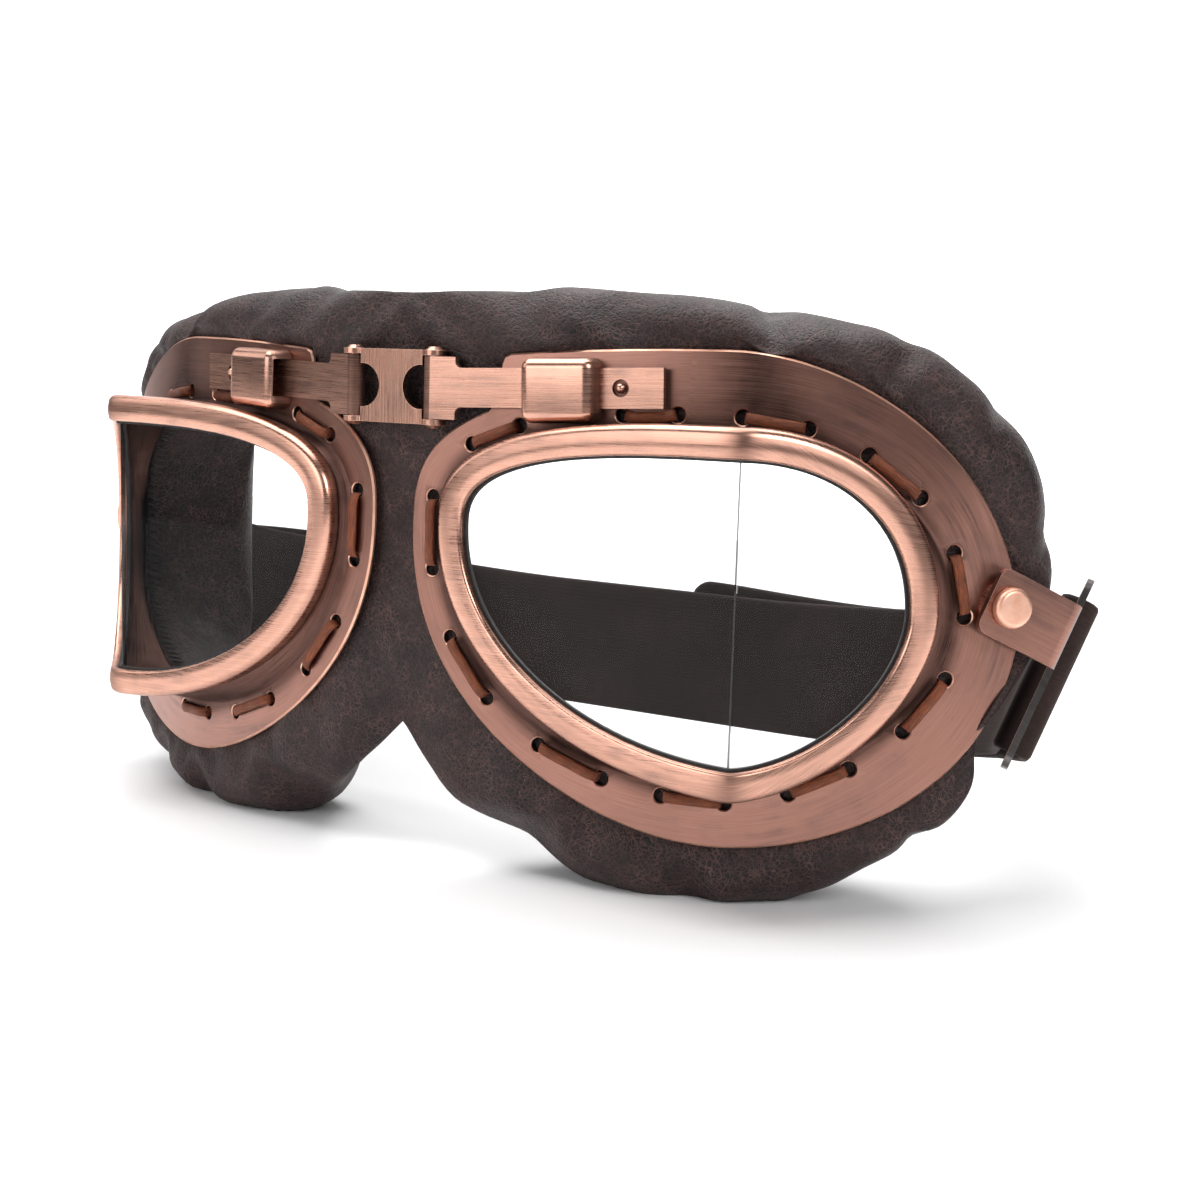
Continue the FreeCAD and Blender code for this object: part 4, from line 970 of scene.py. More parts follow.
@dataclass(frozen=True)
class BasePlate:
    """Pressed plate with rubbed edges painted bright as a highlight, a row of lacing holes with painted shade
    on their walls, and a drawn collar under the rim.
    """

    sheet: CurvedSheet = CurvedSheet()
    holes: HoleRow = HoleRow()
    rim: LensRim = LensRim()
    stain_and_shade: PlateStainAndShade = PlateStainAndShade()
    egg: EggLoop = EggLoop(nose=49.6, temple=43.2, top=6.8, bottom=-64.7, temple_level=-31.7,
                           powers=(2.8, 1.93, 1.92, 1.82))
    thickness: float = 0.9
    corner_reach: float = 35.5
    corner_level: float = 5.4
    corner_round: float = 1.6
    nose_band: float = 3.4
    foot_inset: float = 2.2
    foot_lift: float = 0.35
    collar_wall: float = 0.9
    collar_clearance: float = 0.05
    collar_shares: tuple[float, ...] = (0.0, 0.35, 0.7, 1.0)
    # Patina and painted shade on the collar between plate and rim, a value for each band.
    collar_shade_and_patina: tuple[float, ...] = (0.95, 0.85, 0.75, 0.7, 0.7, 0.8, 0.8, 0.8, 0.8)
    edge_round: float = 0.28
    block: float = 1.75
    block_cells: int = 6
    hole_rim: float = 0.16
    outer_rows: int = 7
    spacing: float = 1.1

    CORNER_START = 0.152
    CORNER_END = 0.160
    NOTCH = 0.169
    NOSE = 0.25
    CREASE_BOTTOM = 0.5
    MIDDLE = (-5.0, -29.0)

    def outline(self, fractions: Fractions) -> Array:
        """Positions (w, z) on the plate's edge: an egg with a square corner for the keeper over a nose band.

        Args:
            fractions: where round the plate, from 0 to 1.

        Returns:
            One (w, z) for each fraction.
        """
        egg = self.egg.at(fractions)
        band = self.holes.loop.grown(self.nose_band)
        begin = band.fraction_at_reach(-self.corner_reach)
        foot = band.at(np.array([begin]))[0, 1]
        straight, side_top = self.corner_reach - self.corner_round, self.corner_level - self.corner_round
        cuts = (0.0, self.CORNER_START, self.CORNER_END, self.NOTCH, self.NOSE, self.CREASE_BOTTOM)
        top, corner, side, nose, cheek = (np.clip((fractions - a) / (b - a), 0.0, 1.0)
                                          for a, b in zip(cuts, cuts[1:]))
        sag = (self.egg.top - self.corner_level) * top ** 2
        turn = corner * math.pi / 2
        ease = smooth(cheek)[:, None]
        stretches = (np.column_stack([-straight * top, self.egg.top - sag]),
                     np.column_stack([-straight - self.corner_round * np.sin(turn),
                                      side_top + self.corner_round * np.cos(turn)]),
                     np.column_stack([np.full_like(side, -self.corner_reach),
                                      side_top + (foot - side_top) * side]),
                     band.at(begin + (self.NOSE - begin) * nose),
                     band.at(fractions) * (1 - ease) + egg * ease)
        return np.select([(fractions < cut)[:, None] for cut in cuts[1:]], stretches, egg)

    @property
    def steps(self) -> Array:
        """Distances of a hole block's rows and columns from the hole's middle."""
        return np.linspace(-self.block, self.block, self.block_cells + 1)

    def columns(self) -> tuple[Array, list[int]]:
        """Fractions of the plate's columns.

        Returns:
            The fractions, and for each hole the number of the first column of its block of cells.
        """
        loop = self.holes.loop
        middles = np.sort(self.holes.fractions())
        marks = (self.CORNER_START, self.CORNER_END, self.NOTCH)
        blocks = [loop.fraction_at(loop.run(np.array([m])) + self.steps) for m in middles]
        found: list[float] = []
        starts: list[int] = []
        for number, cells in enumerate(blocks):
            starts.append(len(found))
            found.extend(cells)
            following = blocks[(number + 1) % len(blocks)][0]
            gap_end = following + (1.0 if following < cells[-1] else 0.0)
            stops = [cells[-1], *(m for m in marks if cells[-1] < m < gap_end), gap_end]
            for a, b in zip(stops, stops[1:]):
                count = max(2, round((b - a) * loop.length / self.spacing))
                inner = np.linspace(a, b, count + 1)[1:]
                found.extend(inner if b != gap_end else inner[:-1])
        return np.mod(np.array(found), 1.0), starts

    def rows(self, fractions: Fractions) -> Array:
        """Positions (w, z) of the plate's rows from the collar's foot out to the edge round."""
        inner = [self.holes.loop.grown(step).at(fractions) for step in self.steps]
        edge = self.outline(fractions)
        tangent = unit(np.roll(edge, -1, axis=0) - np.roll(edge, 1, axis=0))
        outward = np.column_stack([tangent[:, 1], -tangent[:, 0]])
        outward *= np.sign(np.sum(outward * (edge - self.MIDDLE), axis=1, keepdims=True))
        inset = edge - outward * self.edge_round
        shares = np.linspace(0.0, 1.0, self.outer_rows + 1)[1:]
        outer = [inner[-1] + (inset - inner[-1]) * s for s in shares]
        return np.array(inner + outer + [edge])

    def _face(self, draft: MeshDraft, rows: Array, starts: list[int], fractions: Fractions,
              back: bool) -> tuple[Array, list[Array], Array]:
        """Add the plate's front or back face, with a ring of cells round each hole.

        Args:
            draft: the plate's draft.
            rows: positions (w, z) of the face's rows, without the edge row.
            starts: first column of each hole's block.
            fractions: of the columns.
            back: true for the back face.

        Returns:
            Vertex indices of the grid, of each hole's lip, and the grid's brush UVs.
        """
        lift, dip = (-self.thickness, self.hole_rim) if back else (0.0, -self.hole_rim)
        # The back face gets painted shade; the front patina and painted shade.
        stain_and_shade = np.full(rows.shape[:2], self.stain_and_shade.back) if back else self.stain_and_shade.front(rows)
        index = closed(draft.add_points(self.sheet.place(*np.moveaxis(rows, -1, 0), lift), stain_and_shade), 1)
        rows, stain_and_shade = closed(rows, 1), closed(stain_and_shade, 1)
        run = np.append(self.holes.loop.run(fractions), 0.0)
        run = np.unwrap(run, period=self.holes.loop.length)
        reach = np.linalg.norm(rows - rows[:1], axis=-1)
        uv = np.stack(np.broadcast_arrays(run, reach), axis=-1) * MM
        skip = np.zeros(np.subtract(index.shape, 1), bool)
        n, steps = self.block_cells, np.arange(self.block_cells)
        none, full = np.zeros_like(steps), np.full_like(steps, n)
        lips = []
        for start, middle in zip(starts, self.holes.loop.at(np.sort(self.holes.fractions()))):
            skip[:n, start:start + n] = True
            border = (np.concatenate([none, steps, full, n - steps]),
                      start + np.concatenate([steps, full, n - steps, none]))
            way = unit(rows[border] - middle)
            wide, narrow = (middle + way * r for r in (self.holes.radius + self.hole_rim, self.holes.radius))
            ring = draft.add_points(self.sheet.place(*wide.T, lift), stain_and_shade[border])
            lip = draft.add_points(self.sheet.place(*narrow.T, lift + dip))
            marks = closed(np.array([uv[border]] * 2), 1)
            draft.add_grid(closed(np.array([index[border], ring]), 1), marks, flip=back)
            # The hole's rim takes the bright edge finish, partly a painted highlight.
            draft.add_grid(closed(np.array([ring, lip]), 1), marks, slot=1, flip=back)
            lips.append(lip)
        draft.add_grid(index, uv, flip=back, skip=skip)
        return index, lips, uv

    def build(self, bench: Bench, side: Side, finishes: Finishes) -> None:
        """Make the plate and collar of one eyepiece."""
        draft = MeshDraft()
        fractions, starts = self.columns()
        rows = self.rows(fractions)
        front, front_lips, uv = self._face(draft, rows[:-1], starts, fractions, False)
        back, back_lips, _ = self._face(draft, rows[:-1], starts, fractions, True)
        lifts = (-self.edge_round, self.edge_round - self.thickness)
        sides = [closed(draft.add_points(self.sheet.place(*rows[-1].T, lift))) for lift in lifts]
        bands = np.array([front[-1], *sides, back[-1]])
        # The rounded outer edge takes the bright edge finish, partly a painted highlight.
        draft.add_grid(bands, np.array([uv[-1]] * len(bands)), slot=1)
        # Hole walls take the black rubber finish: painted shade inside the lacing holes.
        for near, far in zip(front_lips, back_lips):
            wall = closed(np.array([near, far]), 1)
            draft.add_grid(wall, np.zeros((*wall.shape, 2)), slot=2)
        self._collar(draft, fractions, front[0], back[0], uv[0])
        # Slots: brushed plate copper, the bright edge finish with its painted highlight, and black rubber as
        # painted shade in the holes.
        materials = [finishes.plate_copper, finishes.edge, finishes.rubber]
        piece = draft.build(side.prefix + "plate", bench, side, materials)
        dress(piece, side.prefix + "eye", side.prefix + "base_plate")

    def _collar(self, draft: MeshDraft, fractions: Fractions, front: Array, back: Array,
                uv: Array) -> None:
        """Add the collar from the plate's inner edge up inside the rim, and down again inside."""
        foot, deep = (self.holes.loop.grown(-self.foot_inset - wall).at(fractions).T
                      for wall in (0.0, self.collar_wall))
        outside = self.rim.loop.grown(-self.rim.skirt_wall - self.collar_clearance)
        inside = outside.grown(-self.collar_wall)
        lifts = (-self.rim.skirt - self.collar_clearance, -self.rim.lip)
        low, skirt, lip, inner_lip, inner_skirt, end = (
            self.sheet.place(*foot, self.foot_lift),
            *(self.rim.sheet.place(*outside.at(fractions).T, lift) for lift in lifts),
            *(self.rim.sheet.place(*inside.at(fractions).T, lift) for lift in lifts[::-1]),
            self.sheet.place(*deep, -self.thickness))
        rises = [low + (skirt - low) * s for s in self.collar_shares]
        rises += [lip, inner_lip, inner_skirt, (inner_skirt + end) / 2, end]
        # Each collar band carries its patina and painted shade.
        bands = [closed(draft.add_points(*rise)) for rise in zip(rises, self.collar_shade_and_patina)]
        bands = np.array([front, *bands, back])
        down = np.arange(len(bands))[:, None] * MM
        coordinates = np.stack(np.broadcast_arrays(uv[:, 0], uv[:, 1] - down), axis=-1)
        draft.add_grid(bands, coordinates, flip=True)


class NodeTree(NodeBuilder):
    """A Geometry Nodes tree built in the script, with named inputs."""

    def __init__(self, name: str) -> None:
        """Start a tree with a mesh going in and coming out."""
        super().__init__(bpy.data.node_groups.new(name, "GeometryNodeTree"))
        for way in ("INPUT", "OUTPUT"):
            self.tree.interface.new_socket("Geometry", in_out=way, socket_type="NodeSocketGeometry")
        self.start = self.add("NodeGroupInput")
        self.end = self.add("NodeGroupOutput")
        self.sizes: dict[str, float] = {}

    def size(self, name: str, value: float) -> Socket:
        """Add a named input and give its socket inside the tree."""
        socket = self.tree.interface.new_socket(name, in_out="INPUT", socket_type="NodeSocketFloat")
        self.sizes[socket.identifier] = value
        return self.start.outputs[name]

    def named(self, name: str, kind: str = "FLOAT") -> Socket:
        """A value stored on the geometry."""
        node = self.add("GeometryNodeInputNamedAttribute", {"Name": name}, data_type=kind)
        return node.outputs["Attribute"]

    def store(self, geometry: Socket, name: str, value: Socket, kind: str = "FLOAT",
              domain: str = "POINT") -> Socket:
        """The geometry with a value stored on it."""
        inputs = {"Geometry": geometry, "Name": name, "Value": value}
        node = self.add("GeometryNodeStoreNamedAttribute", inputs, data_type=kind, domain=domain)
        return node.outputs["Geometry"]

    def finish(self, geometry: Socket, material: Material) -> None:
        """End the tree: instances made real, and the material set."""
        real = self.add("GeometryNodeRealizeInstances", {"Geometry": geometry}).outputs["Geometry"]
        dressed = self.add("GeometryNodeSetMaterial", {"Geometry": real, "Material": material})
        self.link(dressed.outputs["Geometry"], self.end.inputs["Geometry"])

    def apply(self, name: str, guide: Mesh) -> Mesh:
        """Run the tree on a guide mesh.

        Args:
            name: the new mesh's name.
            guide: the mesh that goes in.

        Returns:
            What comes out, as a plain mesh.
        """
        holder = linked(name + "_guide", guide)
        modifier = holder.modifiers.new(self.tree.name, "NODES")
        modifier.node_group = self.tree
        for identifier, value in self.sizes.items():
            modifier[identifier] = value
        bpy.context.view_layer.update()
        evaluated = holder.evaluated_get(bpy.context.evaluated_depsgraph_get())
        mesh = bpy.data.meshes.new_from_object(evaluated)
        holder.modifiers.remove(modifier)
        bpy.data.objects.remove(holder)
        mesh.name = name
        return mesh


def guide_mesh(points: Array, edges: Sequence[tuple[int, int]], ways: Array, bench: Bench,
               side: Side) -> Mesh:
    """Points for a Geometry Nodes tree, each with the way that belongs to it in the attribute "way".

    Args:
        points: bench points.
        edges: pairs of their numbers.
        ways: a vector for each, on the left side.
        bench: carries the points into the frame.
        side: RIGHT mirrors them.

    Returns:
        The mesh.
    """
    mesh = bpy.data.meshes.new("guide")
    mesh.from_pydata(bench.to_frame(points, side).tolist(), edges, [])
    turned = np.asarray(ways) * side.mirror
    mesh.attributes.new("way", "FLOAT_VECTOR", "POINT").data.foreach_set("vector", turned.ravel())
    return mesh


@dataclass(frozen=True)
class Lacing:
    """Lace that comes up one hole, lies over the plate and goes down the next."""

    sheet: CurvedSheet = CurvedSheet()
    holes: HoleRow = HoleRow()
    width: float = 1.6
    height: float = 0.95
    lift: float = 0.30
    tuck: float = 1.15
    mouth: float = 0.05
    lead: float = 0.45
    rise: float = 1.25
    shoulder: float = 0.85
    crown: float = 1.1
    bar_drop: float = 0.35
    rings: int = 34
    facets: int = 18
    sharp: float = 60.0

    def guide(self, bench: Bench, side: Side) -> Mesh:
        """Polylines of the stitches, with the plate's normal at each point."""
        points, normals, edges = [], [], []
        stations = self.holes.stations()
        pairs = list(zip(stations[0::2], stations[1::2]))
        high = self.height / 2 + self.lift
        for number, (a, b) in enumerate(pairs):
            step = unit(b - a)
            quarter = np.linalg.norm(b - a) / 4
            drop = np.array([0.0, -self.bar_drop if number == len(pairs) - 1 else 0.0])
            half = [(self.lead, 0.0, -self.tuck), (self.lead, 0.0, self.mouth),
                    (self.rise, 0.5, high * self.shoulder), (quarter, 1.0, high * self.crown)]
            up = [(a + step * run + drop * sag, lift) for run, sag, lift in half]
            down = [(b - step * run + drop * sag, lift) for run, sag, lift in half[::-1]]
            route = [*up, ((a + b) / 2 + drop, high), *down]
            edges += [(len(points) + k, len(points) + k + 1) for k in range(len(route) - 1)]
            for (w, z), lift in route:
                points.append(self.sheet.place(w, z, lift))
                normals.append(self.sheet.normal(w))
        return guide_mesh(np.array(points), edges, np.array(normals), bench, side)

    def tree(self, material: Material) -> NodeTree:
        """Tree that lays a flat bundle of threads along each stitch."""
        t = NodeTree("lace_stitches")
        width = t.size("Lace width", self.width * MM)
        height = t.size("Lace height", self.height * MM)
        curve = t.add("GeometryNodeMeshToCurve", {"Mesh": t.start.outputs["Geometry"]}).outputs["Curve"]
        spline = t.add("GeometryNodeCurveSplineType", {"Curve": curve}, spline_type="CATMULL_ROM")
        even = t.add("GeometryNodeResampleCurve", {"Curve": spline.outputs["Curve"], "Count": self.rings})
        aimed = t.add("GeometryNodeSetCurveNormal", {"Curve": even.outputs["Curve"],
                                                     "Normal": t.named("way", "FLOAT_VECTOR")}, mode="FREE")
        run = t.add("GeometryNodeSplineParameter").outputs["Length"]
        path = t.store(aimed.outputs["Curve"], "lace_run", run)
        circle = t.add("GeometryNodeCurvePrimitiveCircle", {"Resolution": self.facets, "Radius": 0.5})
        scale = t.add("ShaderNodeCombineXYZ", {"X": height, "Y": width, "Z": 1.0}).outputs["Vector"]
        oval = t.add("GeometryNodeTransform", {"Geometry": circle.outputs["Curve"], "Scale": scale})
        turn = t.add("GeometryNodeSplineParameter").outputs["Factor"]
        profile = t.store(oval.outputs["Geometry"], "lace_turn", turn)
        tube = t.add("GeometryNodeCurveToMesh", {"Curve": path, "Profile Curve": profile, "Fill Caps": True})
        pair = t.add("ShaderNodeCombineXYZ", {"X": t.named("lace_run"), "Y": t.named("lace_turn")})
        t.finish(t.store(tube.outputs["Mesh"], "brush", pair.outputs["Vector"], "FLOAT2", "CORNER"), material)
        return t

    def build(self, bench: Bench, side: Side, finishes: Finishes) -> None:
        """Lace one eyepiece."""
        mesh = self.tree(finishes.lace).apply(side.prefix + "laces", self.guide(bench, side))
        piece = finished(side.prefix + "laces", mesh, self.sharp)
        dress(piece, side.prefix + "eye", side.prefix + "lacing")


@dataclass(frozen=True)
class Pinch:
    """A pinch in the leather where the roll is gathered."""

    fraction: float
    depth: float
    width: float
    lean: float = 0.0


@dataclass(frozen=True)
class Swell:
    """A stretch where the roll is fuller than its egg, or slacker where the height is negative."""

    fraction: float
    height: float
    width: float


@dataclass(frozen=True)
class Cover:
    """The cushion's leather as cloth: larger than its filling and held along the plate, so it puckers."""

    growth: float = 0.035
    pressure: float = 1.0
    stretch: float = 15.0
    bending: float = 1.0
    mass: float = 0.3
    quality: int = 6
    frames: int = 20
    enlarged: float = 5.0
    window: int = 25
    cap: float = 1.5

    STEP = 2

    def settle(self, grid: Array, held: Array) -> Array:
        """Let the cover settle and give the folds it falls into.

        Args:
            grid: bench points of the roll, rows by columns, closed both ways.
            held: true for each row that is held.

        Returns:
            How far each point of the grid moves, without the swelling that is wider than a fold.
        """
        coarse = grid[::self.STEP, ::self.STEP]
        rows, columns = coarse.shape[:2]
        index = np.arange(rows * columns).reshape(rows, columns)
        around, along = np.roll(index, -1, axis=1), np.roll(index, -1, axis=0)
        faces = np.stack([index, around, np.roll(around, -1, axis=0), along], axis=-1).reshape(-1, 4)
        size = MM * self.enlarged
        mesh = bpy.data.meshes.new("cover")
        mesh.from_pydata((coarse.reshape(-1, 3) * size).tolist(), [], faces.tolist())
        holder = linked("cover", mesh)
        group = holder.vertex_groups.new(name="held")
        group.add(index[held[::self.STEP]].ravel().tolist(), 1.0, "REPLACE")
        self._cloth(holder)
        for frame in range(1, self.frames + 1):
            bpy.context.scene.frame_set(frame)
        shaped = holder.evaluated_get(bpy.context.evaluated_depsgraph_get()).to_mesh()
        spots = np.empty(len(shaped.vertices) * 3)
        shaped.vertices.foreach_get("co", spots)
        moved = spots.reshape(rows, columns, 3) / size - coarse
        bpy.data.objects.remove(holder)
        bpy.context.scene.frame_set(1)
        return self._folds(moved)

    def _cloth(self, holder: Piece) -> None:
        """Make an object cloth."""
        cloth = holder.modifiers.new("cover", "CLOTH")
        settings = cloth.settings
        settings.quality = self.quality
        settings.mass = self.mass
        settings.tension_stiffness = settings.compression_stiffness = self.stretch
        settings.shear_stiffness = self.stretch / 2
        settings.bending_stiffness = self.bending
        settings.use_pressure = True
        settings.uniform_pressure_force = self.pressure
        settings.vertex_group_mass = "held"
        settings.shrink_min = -self.growth
        settings.effector_weights.gravity = 0.0
        cloth.collision_settings.use_collision = False
        cloth.point_cache.frame_start, cloth.point_cache.frame_end = 1, self.frames

    def _folds(self, moved: Array) -> Array:
        """Moves at every point of the whole grid: those of the folds alone, capped and smoothed."""
        half = self.window // 2
        ring = np.concatenate([moved[:, -half:], moved, moved[:, :half]], axis=1)
        wide = np.stack([ring[:, k:k + moved.shape[1]] for k in range(self.window)]).mean(axis=0)
        folds = moved - wide
        length = np.linalg.norm(folds, axis=-1, keepdims=True)
        folds = folds * np.minimum(1.0, self.cap / np.maximum(length, 1e-9))
        for axis in (0, 1):
            folds = np.repeat(folds, self.STEP, axis=axis)
            folds = (folds + np.roll(folds, -1, axis=axis)) / 2
            folds = (np.roll(folds, 1, axis=axis) + 2 * folds + np.roll(folds, -1, axis=axis)) / 4
        return folds


def everything(bm: bmesh.types.BMesh) -> list:
    """All that a mesh is made of."""
    return bm.verts[:] + bm.edges[:] + bm.faces[:]


@dataclass(frozen=True)
class Cushion:
    """Leather roll round both eyepieces: one skin, cut where the bridge folds and slides."""

    cover: Cover = Cover()
    sheet: CurvedSheet = CurvedSheet()
    plate: BasePlate = BasePlate()
    egg: EggLoop = EggLoop(nose=84.0, temple=51.0, top=15.4, bottom=-74.0, temple_level=-20.0,
                           powers=(3.6, 1.85, 1.75, 2.2))
    girth: float = 300.0
    opening_inset: float = 3.4
    table: float = -73.5
    columns: int = 300
    rows: int = 72
    front_depth: float = 1.25
    front_end: float = 6.0
    back_start: float = 16.0
    back_depth: float = 21.0
    seat: float = 1.15
    held_place: float = 1.06
    lining_place: float = 0.35
    edge_limits: tuple[float, float] = (0.2, 0.85)
    evening: int = 9
    fold_start: float = 0.5
    fold_draw: float = 0.85
    front_puff: float = 0.45
    back_puff: float = -0.27
    heap: float = 0.42
    heap_width: float = 3.2
    lean_run: float = 0.001
    lean_depth: float = 8.0
    slack: float = 0.75
    slack_scale: float = 3.0
    slack_drift: float = 0.07
    wrinkle: float = 0.22
    wrinkle_scale: float = 0.16
    wrinkle_drift: float = 0.11
    wrinkle_seed: float = 7.0
    valley: float = 13.0
    valley_depth: float = 1.0
    thin_start: float = 8.0
    thin_end: float = 30.0
    thin_depth: float = 14.0
    low_start: float = -40.0
    low_run: float = 20.0
    notch_rise: float = 7.5
    cheek_rise: float = 3.0
    cheek_start: float = 8.0
    cheek_end: float = 34.0
    cheek_fade: float = 16.0
    brow_run: float = 12.0
    brow_rise: float = 1.4
    bar_edge: float = 9.0
    eye_edge: float = 17.0
    fill: float = 0.7
    swells: tuple[Swell, ...] = (Swell(0.92, -3.0, 32.0), Swell(0.46, 1.4, 15.0), Swell(0.55, 0.8, 12.0),
                                 Swell(0.622, 3.2, 9.0))
    # Section of the roll as (place, depth): place 0 is the opening, 1 the plate's edge and 2 the outside
    section: tuple[tuple[float, float], ...] = (
        (0.00, 1.6), (0.10, 1.25), (0.90, 1.25), (1.02, 1.15), (1.12, 0.55), (1.34, 0.15), (1.58, 0.75),
        (1.79, 2.7), (1.94, 5.8), (2.00, 9.4), (1.97, 13.4), (1.83, 17.1), (1.50, 20.1), (1.08, 21.0),
        (0.70, 19.6), (0.40, 15.4), (0.12, 8.6), (0.00, 4.0))
    pinches: tuple[Pinch, ...] = (
        Pinch(0.985, 0.9, 3.8, 0.3), Pinch(0.045, 0.7, 4.4), Pinch(0.082, 1.0, 3.0, -0.3),
        Pinch(0.122, 0.9, 3.2, 0.2), Pinch(0.165, 1.1, 2.6, 0.5), Pinch(0.195, 1.0, 2.4),
        Pinch(0.300, 0.8, 3.5), Pinch(0.360, 0.9, 3.0, 0.4), Pinch(0.430, 1.0, 3.4, -0.4),
        Pinch(0.492, 1.1, 2.8), Pinch(0.545, 0.9, 3.2, 0.3), Pinch(0.598, 1.5, 2.4, -0.4),
        Pinch(0.655, 0.9, 3.6), Pinch(0.760, 0.8, 4.5), Pinch(0.835, 0.9, 3.4, 0.3), Pinch(0.905, 1.0, 3.0))

    PLACE_SIZE = (12.0, 1.0)
    CURVE_STEPS = 24
    OUTLINE_STEPS = 400
    ON_PLANE = 1e-7
    WELD = 2e-5

    def _section(self) -> Array:
        """The section's points, evenly spaced on a closed smooth curve."""
        knots = np.array(self.section) * self.PLACE_SIZE
        t = np.linspace(0.0, 1.0, self.CURVE_STEPS, endpoint=False)[:, None]
        dense = []
        for k in range(len(knots)):
            a, b, c, d = (knots[(k + j) % len(knots)] for j in (-1, 0, 1, 2))
            dense.append(0.5 * (2 * b + (c - a) * t + (2 * a - 5 * b + 4 * c - d) * t ** 2
                                + (3 * b - a - 3 * c + d) * t ** 3))
        curve = closed(np.vstack(dense))
        run = run_along(curve)
        even = np.linspace(0.0, run[-1], self.rows, endpoint=False)
        return np.column_stack([np.interp(even, run, line) for line in curve.T]) / self.PLACE_SIZE

    def _covered(self, flat: Array) -> Array:
        """Which positions (w, z) lie behind the plate."""
        edge = self.plate.outline(np.arange(self.OUTLINE_STEPS) / self.OUTLINE_STEPS)
        after = np.roll(edge, -1, axis=0)
        w, z = flat[:, :1], flat[:, 1:]
        spans = (edge[:, 1] > z) != (after[:, 1] > z)
        rise = np.where(after[:, 1] == edge[:, 1], 1.0, after[:, 1] - edge[:, 1])
        crossing = edge[:, 0] + (z - edge[:, 1]) * (after[:, 0] - edge[:, 0]) / rise
        return np.count_nonzero(spans & (w < crossing), axis=1) % 2 == 1

    def grid(self) -> tuple[Array, Array]:
        """Lay one eyepiece's roll, before it is cut at the nose.

        Returns:
            Bench points, rows by columns, and which of them the plate covers.
        """
        fractions = np.arange(self.columns) / self.columns
        opening = self.plate.holes.loop.grown(-self.opening_inset).at(fractions)
        across = self.egg.at(fractions) - opening
        span = np.linalg.norm(across, axis=1)
        edge = np.linalg.norm(self.plate.outline(fractions) - opening, axis=1)
        edge = np.clip(edge / span, *self.edge_limits)
        half = self.evening // 2
        ring = np.concatenate([edge[-half:], edge, edge[:half]])
        edge = np.convolve(ring, np.ones(self.evening) / self.evening, "valid")
        swell = self._swell(fractions)
        rows, covered = [], []
        for place, depth in self._section():
            reach = float(smooth(np.array((place - 1.0) / self.fold_start)))
            fold = reach * self._folds(fractions, depth)
            share = min(place, 1.0) * edge + max(place - 1.0, 0.0) * (1.0 - edge)
            flat = opening + across * (share - (self.fold_draw * fold - reach * swell) / span)[:, None]
            front, back = depth < self.front_end, depth > self.back_start
            puff = fold * (self.front_puff if front else self.back_puff if back else 0.0)
            covered.append(self._covered(flat) & front)
            seat = np.where(covered[-1], self.seat, -math.inf)
            rows.append(self._nose(flat, np.maximum(depth + puff, seat)))
        return np.array(rows), np.array(covered)

    def _away(self, fractions: Fractions, middle: float) -> Array:
        """Distances round the roll from a fraction of it."""
        return ((fractions - middle + 0.5) % 1.0 - 0.5) * self.girth

    def _folds(self, fractions: Fractions, depth: float) -> Array:
        """How far the leather is drawn in at one depth, from its pinches and the slack between them."""
        total = np.zeros_like(fractions)
        for pinch in self.pinches:
            lean = self.lean_run * pinch.lean * (depth - self.lean_depth)
            away = self._away(fractions, pinch.fraction + lean) / pinch.width
            total += pinch.depth * (np.exp(-away ** 2) - self.heap * np.exp(-(away / self.heap_width) ** 2))
        for k, fraction in enumerate(fractions):
            turn = fraction * math.tau
            ring = (math.cos(turn) * self.slack_scale, math.sin(turn) * self.slack_scale)
            slack = noise.noise(Vector((*ring, depth * self.slack_drift)))
            spot = (fraction * self.girth * self.wrinkle_scale, depth * self.wrinkle_drift)
            wrinkle = noise.noise(Vector((*spot, self.wrinkle_seed)))
            total[k] += self.slack * slack + self.wrinkle * wrinkle
        return total

    def _swell(self, fractions: Fractions) -> Array:
        """How far the roll stands past its egg."""
        return sum(swell.height * np.exp(-(self._away(fractions, swell.fraction) / swell.width) ** 2)
                   for swell in self.swells)

    def _nose(self, flat: Array, depth: Array) -> Array:
        """Place one row and shape it at the nose: a valley in front, a saddle behind and a notch below."""
        w, z = flat.T
        x = np.abs(self.sheet.place(w, z)[:, 0])
        near = smooth(1.0 - x / self.valley)
        low = smooth((self.low_start - z) / self.low_run)
        high = smooth(z / self.brow_run)
        cheek = smooth(x / self.cheek_start) * smooth((self.cheek_end - x) / self.cheek_fade) * (1.0 - near)
        z = z + low * (self.notch_rise * near + self.cheek_rise * cheek) + high * self.brow_rise * near
        thin = smooth((self.thin_end - x) / (self.thin_end - self.thin_start))
        front = self.front_depth + self.valley_depth * near
        back = self.back_depth - self.thin_depth * thin
        share = (depth - self.front_depth) / (self.back_depth - self.front_depth)
        points = self.sheet.place(w, z, -front - share * (back - front))
        points[:, 2] = np.maximum(points[:, 2], self.table)
        return points

